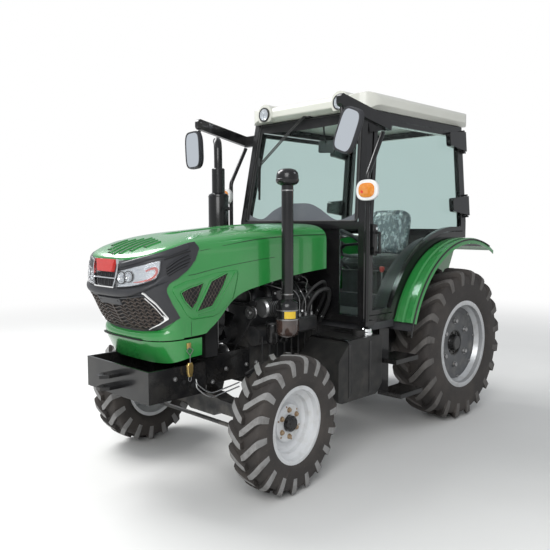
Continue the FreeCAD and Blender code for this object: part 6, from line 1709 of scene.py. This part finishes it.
def make_low_parts():
    """Bracket bolts and holes, the holes as near-black discs of painted shade, tank cap and straps, ribs of
    the steps, axle bolts, hitch pins.
    """
    mould = Mould()
    for side, _ in SIDES:
        outward_axis = (0.0, float(side), 0.0)
        y = side * 0.315
        mould.bolts([(x, y, z) for x, z in ((1.82, 0.5), (1.82, 0.66), (1.9, 0.66), (2.06, 0.66),
                     (2.16, 0.6), (2.42, 0.66))], outward_axis, 0.013, 1)
        # Holes drawn as near-black discs: painted shade.
        for x, z in ((2.3, 0.66), (2.3, 0.61), (2.36, 0.635)):
            mould.turned(drum(0.011, 0.0, 0.0012), (x, y, z), outward_axis, 20, 2)
    mould.turned([(0.0, 0.77), (0.04, 0.77), (0.04, 0.79), (0.036, 0.795), (0.036, 0.812), (0.03, 0.817),
                  (0.0, 0.818)], (1.1, 0.6, 0.0), UP, 36, 3)
    for x in (1.13, 1.34):
        strap = rounded([(0.655, 0.385), (0.655, 0.77), (0.33, 0.77), (0.33, 0.385)], 0.035, 6)
        strap = counter_clockwise(strap)
        grown = inward(strap, -0.0025)
        path = np.stack([np.full(len(grown), x), grown[:, 0], grown[:, 1]], -1)
        rings = np.stack([path + (dx, 0.0, 0.0) for dx in (-0.012, 0.012)], 1)
        inner = np.stack([np.full(len(strap), x), *inward(strap, 0.001).T], -1)
        rings = np.concatenate([rings, np.stack([inner + (dx, 0.0, 0.0) for dx in (0.012, -0.012)], 1)],
                               1)
        mould.rings(rings, 0, True)
    for side, _ in SIDES:
        for x in np.linspace(0.668, 0.932, 9):
            low, high = sorted((side * 0.575, side * 0.728))
            mould.block((x - 0.005, low, 0.356), (x + 0.005, high, 0.361), 0.0012, 0)
    mould.bolts([(1.02 + 0.09 * k, -0.5955, 0.68) for k in range(4)], (0.0, -1.0, 0.0), 0.008, 1)
    for side, _ in SIDES:
        for x in (1.915, 1.965):
            mould.bolts([(x, side * 0.5, 0.4705)], UP, 0.011, 1)
        pin = [(0.0, -0.045), (0.013, -0.045), (0.013, 0.04), (0.02, 0.04), (0.02, 0.05), (0.0, 0.052)]
        mould.turned(pin, (-0.765, side * 0.21, 0.43), (0.0, float(side), 0.0), 24, 1)
    mould.turned([(0.0, -0.04), (0.011, -0.04), (0.011, 0.04), (0.019, 0.04), (0.019, 0.048),
                  (0.0, 0.048)], (-0.585, 0.0, 0.385), UP, 24, 1)
    mould.piece("low_fittings", "chassis", "black_enamel bare_steel dark_gap chrome", "black_metal", 32.0)


def arch(radius, start, end, count, across):
    """A sheet round the rear axle between two angles in degrees, at places across."""
    angle, across = np.broadcast_arrays(np.radians(np.linspace(start, end, count))[:, None], across)
    return np.stack([radius * np.cos(angle), across, ARCH_Z + radius * np.sin(angle)], -1)


def make_fender_trim():
    """Rubber lip on each fender's arch, the sheet under it and the lining beside the cab."""
    mould = Mould()
    for side, _ in SIDES:
        lip = arch(0.797, 11.0, 112.0, 60, np.array([side * 0.737]))[:, 0]
        mould.tube(lip, 0.0055, 0, LEFT, 8)
        mould.sheet(arch(0.7835, 14.0, 110.0, 40, side * np.linspace(0.402, 0.728, 8)), 0.0015, 1)
        lining = arch(0.812, 22.0, 106.0, 44, side * np.linspace(0.392, 0.574, 8))
        mould.sheet(lining[:, ::side], 0.004, 1)
    mould.piece("fender_trim", "chassis", "rubber_seal charcoal_plastic", "tyre", 40.0)


def make_roof_trim():
    """The dark ventilation hatch on the roof in its pale frame."""
    mould = Mould()
    hatch = rounded(oblong(0.08, 0.58, -0.24, 0.24), 0.06, 8)
    mould.plate(hatch, "z", 2.395, 2.45, 0.01, 0)
    mould.plate(inward(counter_clockwise(hatch), 0.035), "z", 2.445, 2.4535, 0.003, 1)
    mould.piece("roof_hatch", "chassis", "roof_plastic dark_gap", "roof_white", 40.0)


def make_door_trim():
    """The handle with its key barrel on each door."""
    for side, word in SIDES:
        mould = Mould()
        lean = math.tan(DOOR_LEAN)

        def at_door(x, z, lift=0.0):
            """A point on the outer side of the door at x and z."""
            x, z = np.broadcast_arrays(np.asarray(x, float), np.asarray(z, float))
            y = 0.612 - np.clip(z - SCREEN_FOOT, 0, None) * lean + lift
            return np.stack([x, side * y, z], -1)

        mould.tube(at_door([1.03, 1.032, 1.033, 1.032], [1.3, 1.345, 1.395, 1.44], 0.036), 0.0095, 0,
                   AHEAD, 12)
        for z in (1.306, 1.434):
            mould.tube(at_door([1.031, 1.031], [z, z], 0.0) + np.array([(0, 0, 0), (0, side * 0.036, 0)]),
                       0.008, 0, AHEAD, 12)
        base = rounded(oblong(1.012, 1.05, 1.285, 1.455), 0.012, 5)
        mould.plate(base, "y", *sorted((side * 0.606, side * 0.62)), 0.003, 0)
        mould.turned([(0.0, 0.0), (0.009, 0.0), (0.009, 0.005), (0.0, 0.006)],
                     at_door(1.031, 1.462, 0.008), (0, side, 0), 20, 1)
        mould.piece(f"door_handle_{word}", f"door_{word}", "black_enamel chrome", "black_metal", 35.0)


# Operators


class TRACTOR_OT_nodes(bpy.types.Operator):
    """Give each carried-over node its finish."""

    bl_idname = "tractor.nodes"
    bl_label = "Finish nodes"

    def execute(self, context):
        finish_nodes()
        return {"FINISHED"}


class TRACTOR_OT_wheels(bpy.types.Operator):
    """Build the four lugged tyres and their rims."""

    bl_idname = "tractor.wheels"
    bl_label = "Wheels"

    def execute(self, context):
        for _, word in SIDES:
            make_tyre("rear", word)
            make_tyre("front", word)
            make_rim("rear", word)
            make_rim("front", word)
        return {"FINISHED"}


class TRACTOR_OT_hood(bpy.types.Operator):
    """Build hood, nose, grille, headlamps and chin."""

    bl_idname = "tractor.hood"
    bl_label = "Hood and nose"

    def execute(self, context):
        make_hood()
        make_nose()
        make_grille()
        make_headlamps()
        make_hood_details()
        make_chin()
        make_lip()
        make_latch()
        return {"FINISHED"}


class TRACTOR_OT_cab(bpy.types.Operator):
    """Build windscreen trim, mirrors, lamps, door handles, roof hatch and fender lips."""

    bl_idname = "tractor.cab"
    bl_label = "Cab trim"

    def execute(self, context):
        make_screen()
        make_mirrors()
        make_lamps()
        make_door_trim()
        make_roof_trim()
        make_fender_trim()
        return {"FINISHED"}


class TRACTOR_OT_controls(bpy.types.Operator):
    """Build steering wheel, levers and instrument cluster."""

    bl_idname = "tractor.controls"
    bl_label = "Controls"

    def execute(self, context):
        make_wheel()
        make_levers()
        make_dash()
        return {"FINISHED"}


class TRACTOR_OT_seat(bpy.types.Operator):
    """Build the padded seat."""

    bl_idname = "tractor.seat"
    bl_label = "Seat"

    def execute(self, context):
        make_seat()
        return {"FINISHED"}


class TRACTOR_OT_stacks(bpy.types.Operator):
    """Build air intake and exhaust."""

    bl_idname = "tractor.stacks"
    bl_label = "Intake and exhaust"

    def execute(self, context):
        make_intake()
        make_exhaust()
        return {"FINISHED"}


class TRACTOR_OT_works(bpy.types.Operator):
    """Build the engine's dressing, its hoses and the low fittings."""

    bl_idname = "tractor.works"
    bl_label = "Engine bay and fittings"

    def execute(self, context):
        make_engine_bay()
        make_hoses()
        make_low_parts()
        return {"FINISHED"}


def floor_finish():
    """Pale floor that keeps the shadow near the tractor and turns white with distance."""
    made = Finish("floor_paint", (0.68, 0.68, 0.665), 0.75)
    made.cover(made.ramp(made.noise(0.9, 5.0), 0.4, 0.7, 0.0, 0.25), (0.61, 0.605, 0.59))
    made.bump(made.noise(40.0, 4.0), 0.05, 0.001)
    length = made.node("ShaderNodeVectorMath", operation="LENGTH")
    made.links.new(made.place, length.inputs[0])
    far = made.ramp(length.outputs["Value"], 3.5, 9.0)
    rays = made.node("ShaderNodeLightPath")
    seen = made.join(made.join(rays.outputs["Is Camera Ray"], rays.outputs["Is Glossy Ray"], "ADD"),
                     rays.outputs["Is Transmission Ray"], "ADD")
    white = made.node("ShaderNodeEmission")
    mix = made.node("ShaderNodeMixShader")
    made.links.new(made.join(far, seen), mix.inputs["Fac"])
    made.links.new(made.shader.outputs["BSDF"], mix.inputs[1])
    made.links.new(white.outputs["Emission"], mix.inputs[2])
    made.links.new(mix.outputs["Shader"], made.nodes["Material Output"].inputs["Surface"])
    return made.material


def make_floor():
    """A wide flat floor at the ground."""
    mesh = bpy.data.meshes.new("floor")
    reach = 60.0
    corners = [(-reach, -reach, 0.0), (reach, -reach, 0.0), (reach, reach, 0.0), (-reach, reach, 0.0)]
    mesh.from_pydata(corners, [], [(0, 1, 2, 3)])
    mesh.materials.append(floor_finish())
    floor = bpy.data.objects.new("floor", mesh)
    bpy.context.scene.collection.objects.link(floor)


def make_world():
    """White where the camera, a reflection or glass sees it, and a soft fill elsewhere."""
    world = bpy.data.worlds.new("studio")
    bpy.context.scene.world = world
    world.use_nodes = True
    nodes = world.node_tree.nodes
    links = world.node_tree.links
    fill = nodes["Background"]
    fill.inputs["Color"].default_value = (0.93, 0.96, 1.0, 1.0)
    fill.inputs["Strength"].default_value = 0.62
    white = nodes.new("ShaderNodeBackground")
    white.inputs["Color"].default_value = (1.0, 1.0, 1.0, 1.0)
    rays = nodes.new("ShaderNodeLightPath")
    mix = nodes.new("ShaderNodeMixShader")
    links.new(rays.outputs["Is Camera Ray"], mix.inputs["Fac"])
    links.new(fill.outputs["Background"], mix.inputs[1])
    links.new(white.outputs["Background"], mix.inputs[2])
    links.new(mix.outputs["Shader"], nodes["World Output"].inputs["Surface"])


def add_lamp(name, place, target, power, size):
    """A soft area lamp that looks at a point."""
    data = bpy.data.lights.new(name, "AREA")
    data.energy = power
    data.size = size
    lamp = bpy.data.objects.new(name, data)
    lamp.location = place
    direction = Vector(target) - Vector(place)
    lamp.rotation_euler = direction.to_track_quat("-Z", "Y").to_euler()
    bpy.context.scene.collection.objects.link(lamp)


def make_camera():
    """A camera at the photograph's place and angle."""
    stage = bpy.context.scene.tractor_stage
    data = bpy.data.cameras.new("camera")
    data.sensor_width = 36.0
    data.lens = stage.lens
    camera = bpy.data.objects.new("camera", data)
    camera.location = stage.place
    flat = math.cos(stage.pitch)
    ahead = Vector((flat * math.cos(stage.yaw), flat * math.sin(stage.yaw), math.sin(stage.pitch)))
    turn = ahead.to_track_quat("-Z", "Y").to_matrix() @ Matrix.Rotation(stage.roll, 3, "Z")
    camera.rotation_euler = turn.to_euler()
    bpy.context.scene.collection.objects.link(camera)
    bpy.context.scene.camera = camera


class TRACTOR_OT_stage(bpy.types.Operator):
    """Set up floor, light and camera."""

    bl_idname = "tractor.stage"
    bl_label = "Stage"

    def execute(self, context):
        stage = context.scene.tractor_stage
        make_floor()
        make_world()
        add_lamp("key", (1.5, -4.5, 6.0), (0.0, 0.0, 0.8), stage.key * 1.6, 4.0)
        add_lamp("front", (5.5, 4.0, 4.5), (0.4, 0.2, 0.9), stage.key, 4.0)
        make_camera()
        context.scene.view_settings.view_transform = "Standard"
        return {"FINISHED"}


class TRACTOR_PT_sidebar(bpy.types.Panel):
    """The tractor's settings and steps."""

    bl_idname = "TRACTOR_PT_sidebar"
    bl_label = "Farm tractor"
    bl_space_type = "VIEW_3D"
    bl_region_type = "UI"
    bl_category = "Tractor"

    def draw(self, context):
        for group in (context.scene.tractor_colours, context.scene.tractor_tyres,
                      context.scene.tractor_stage):
            box = self.layout.box()
            for name in group.__annotations__:
                box.prop(group, name)
        for step in STEPS:
            self.layout.operator(step.bl_idname)


GROUPS = (("tractor_colours", TractorColours), ("tractor_tyres", TractorTyres),
          ("tractor_stage", TractorStage))
STEPS = (TRACTOR_OT_nodes, TRACTOR_OT_wheels, TRACTOR_OT_hood, TRACTOR_OT_cab, TRACTOR_OT_controls,
         TRACTOR_OT_seat, TRACTOR_OT_stacks, TRACTOR_OT_works, TRACTOR_OT_stage)


def register():
    """Register the settings, the steps and the panel."""
    for name, group in GROUPS:
        bpy.utils.register_class(group)
        setattr(bpy.types.Scene, name, bpy.props.PointerProperty(type=group))
    for step in STEPS:
        bpy.utils.register_class(step)
    bpy.utils.register_class(TRACTOR_PT_sidebar)


def unregister():
    """Take back what register did."""
    bpy.utils.unregister_class(TRACTOR_PT_sidebar)
    for step in reversed(STEPS):
        bpy.utils.unregister_class(step)
    for name, group in reversed(GROUPS):
        delattr(bpy.types.Scene, name)
        bpy.utils.unregister_class(group)


def main():
    """Run every step in order."""
    register()
    for step in STEPS:
        area, name = step.bl_idname.split(".")
        getattr(getattr(bpy.ops, area), name)()


if __name__ == "__main__":
    main()
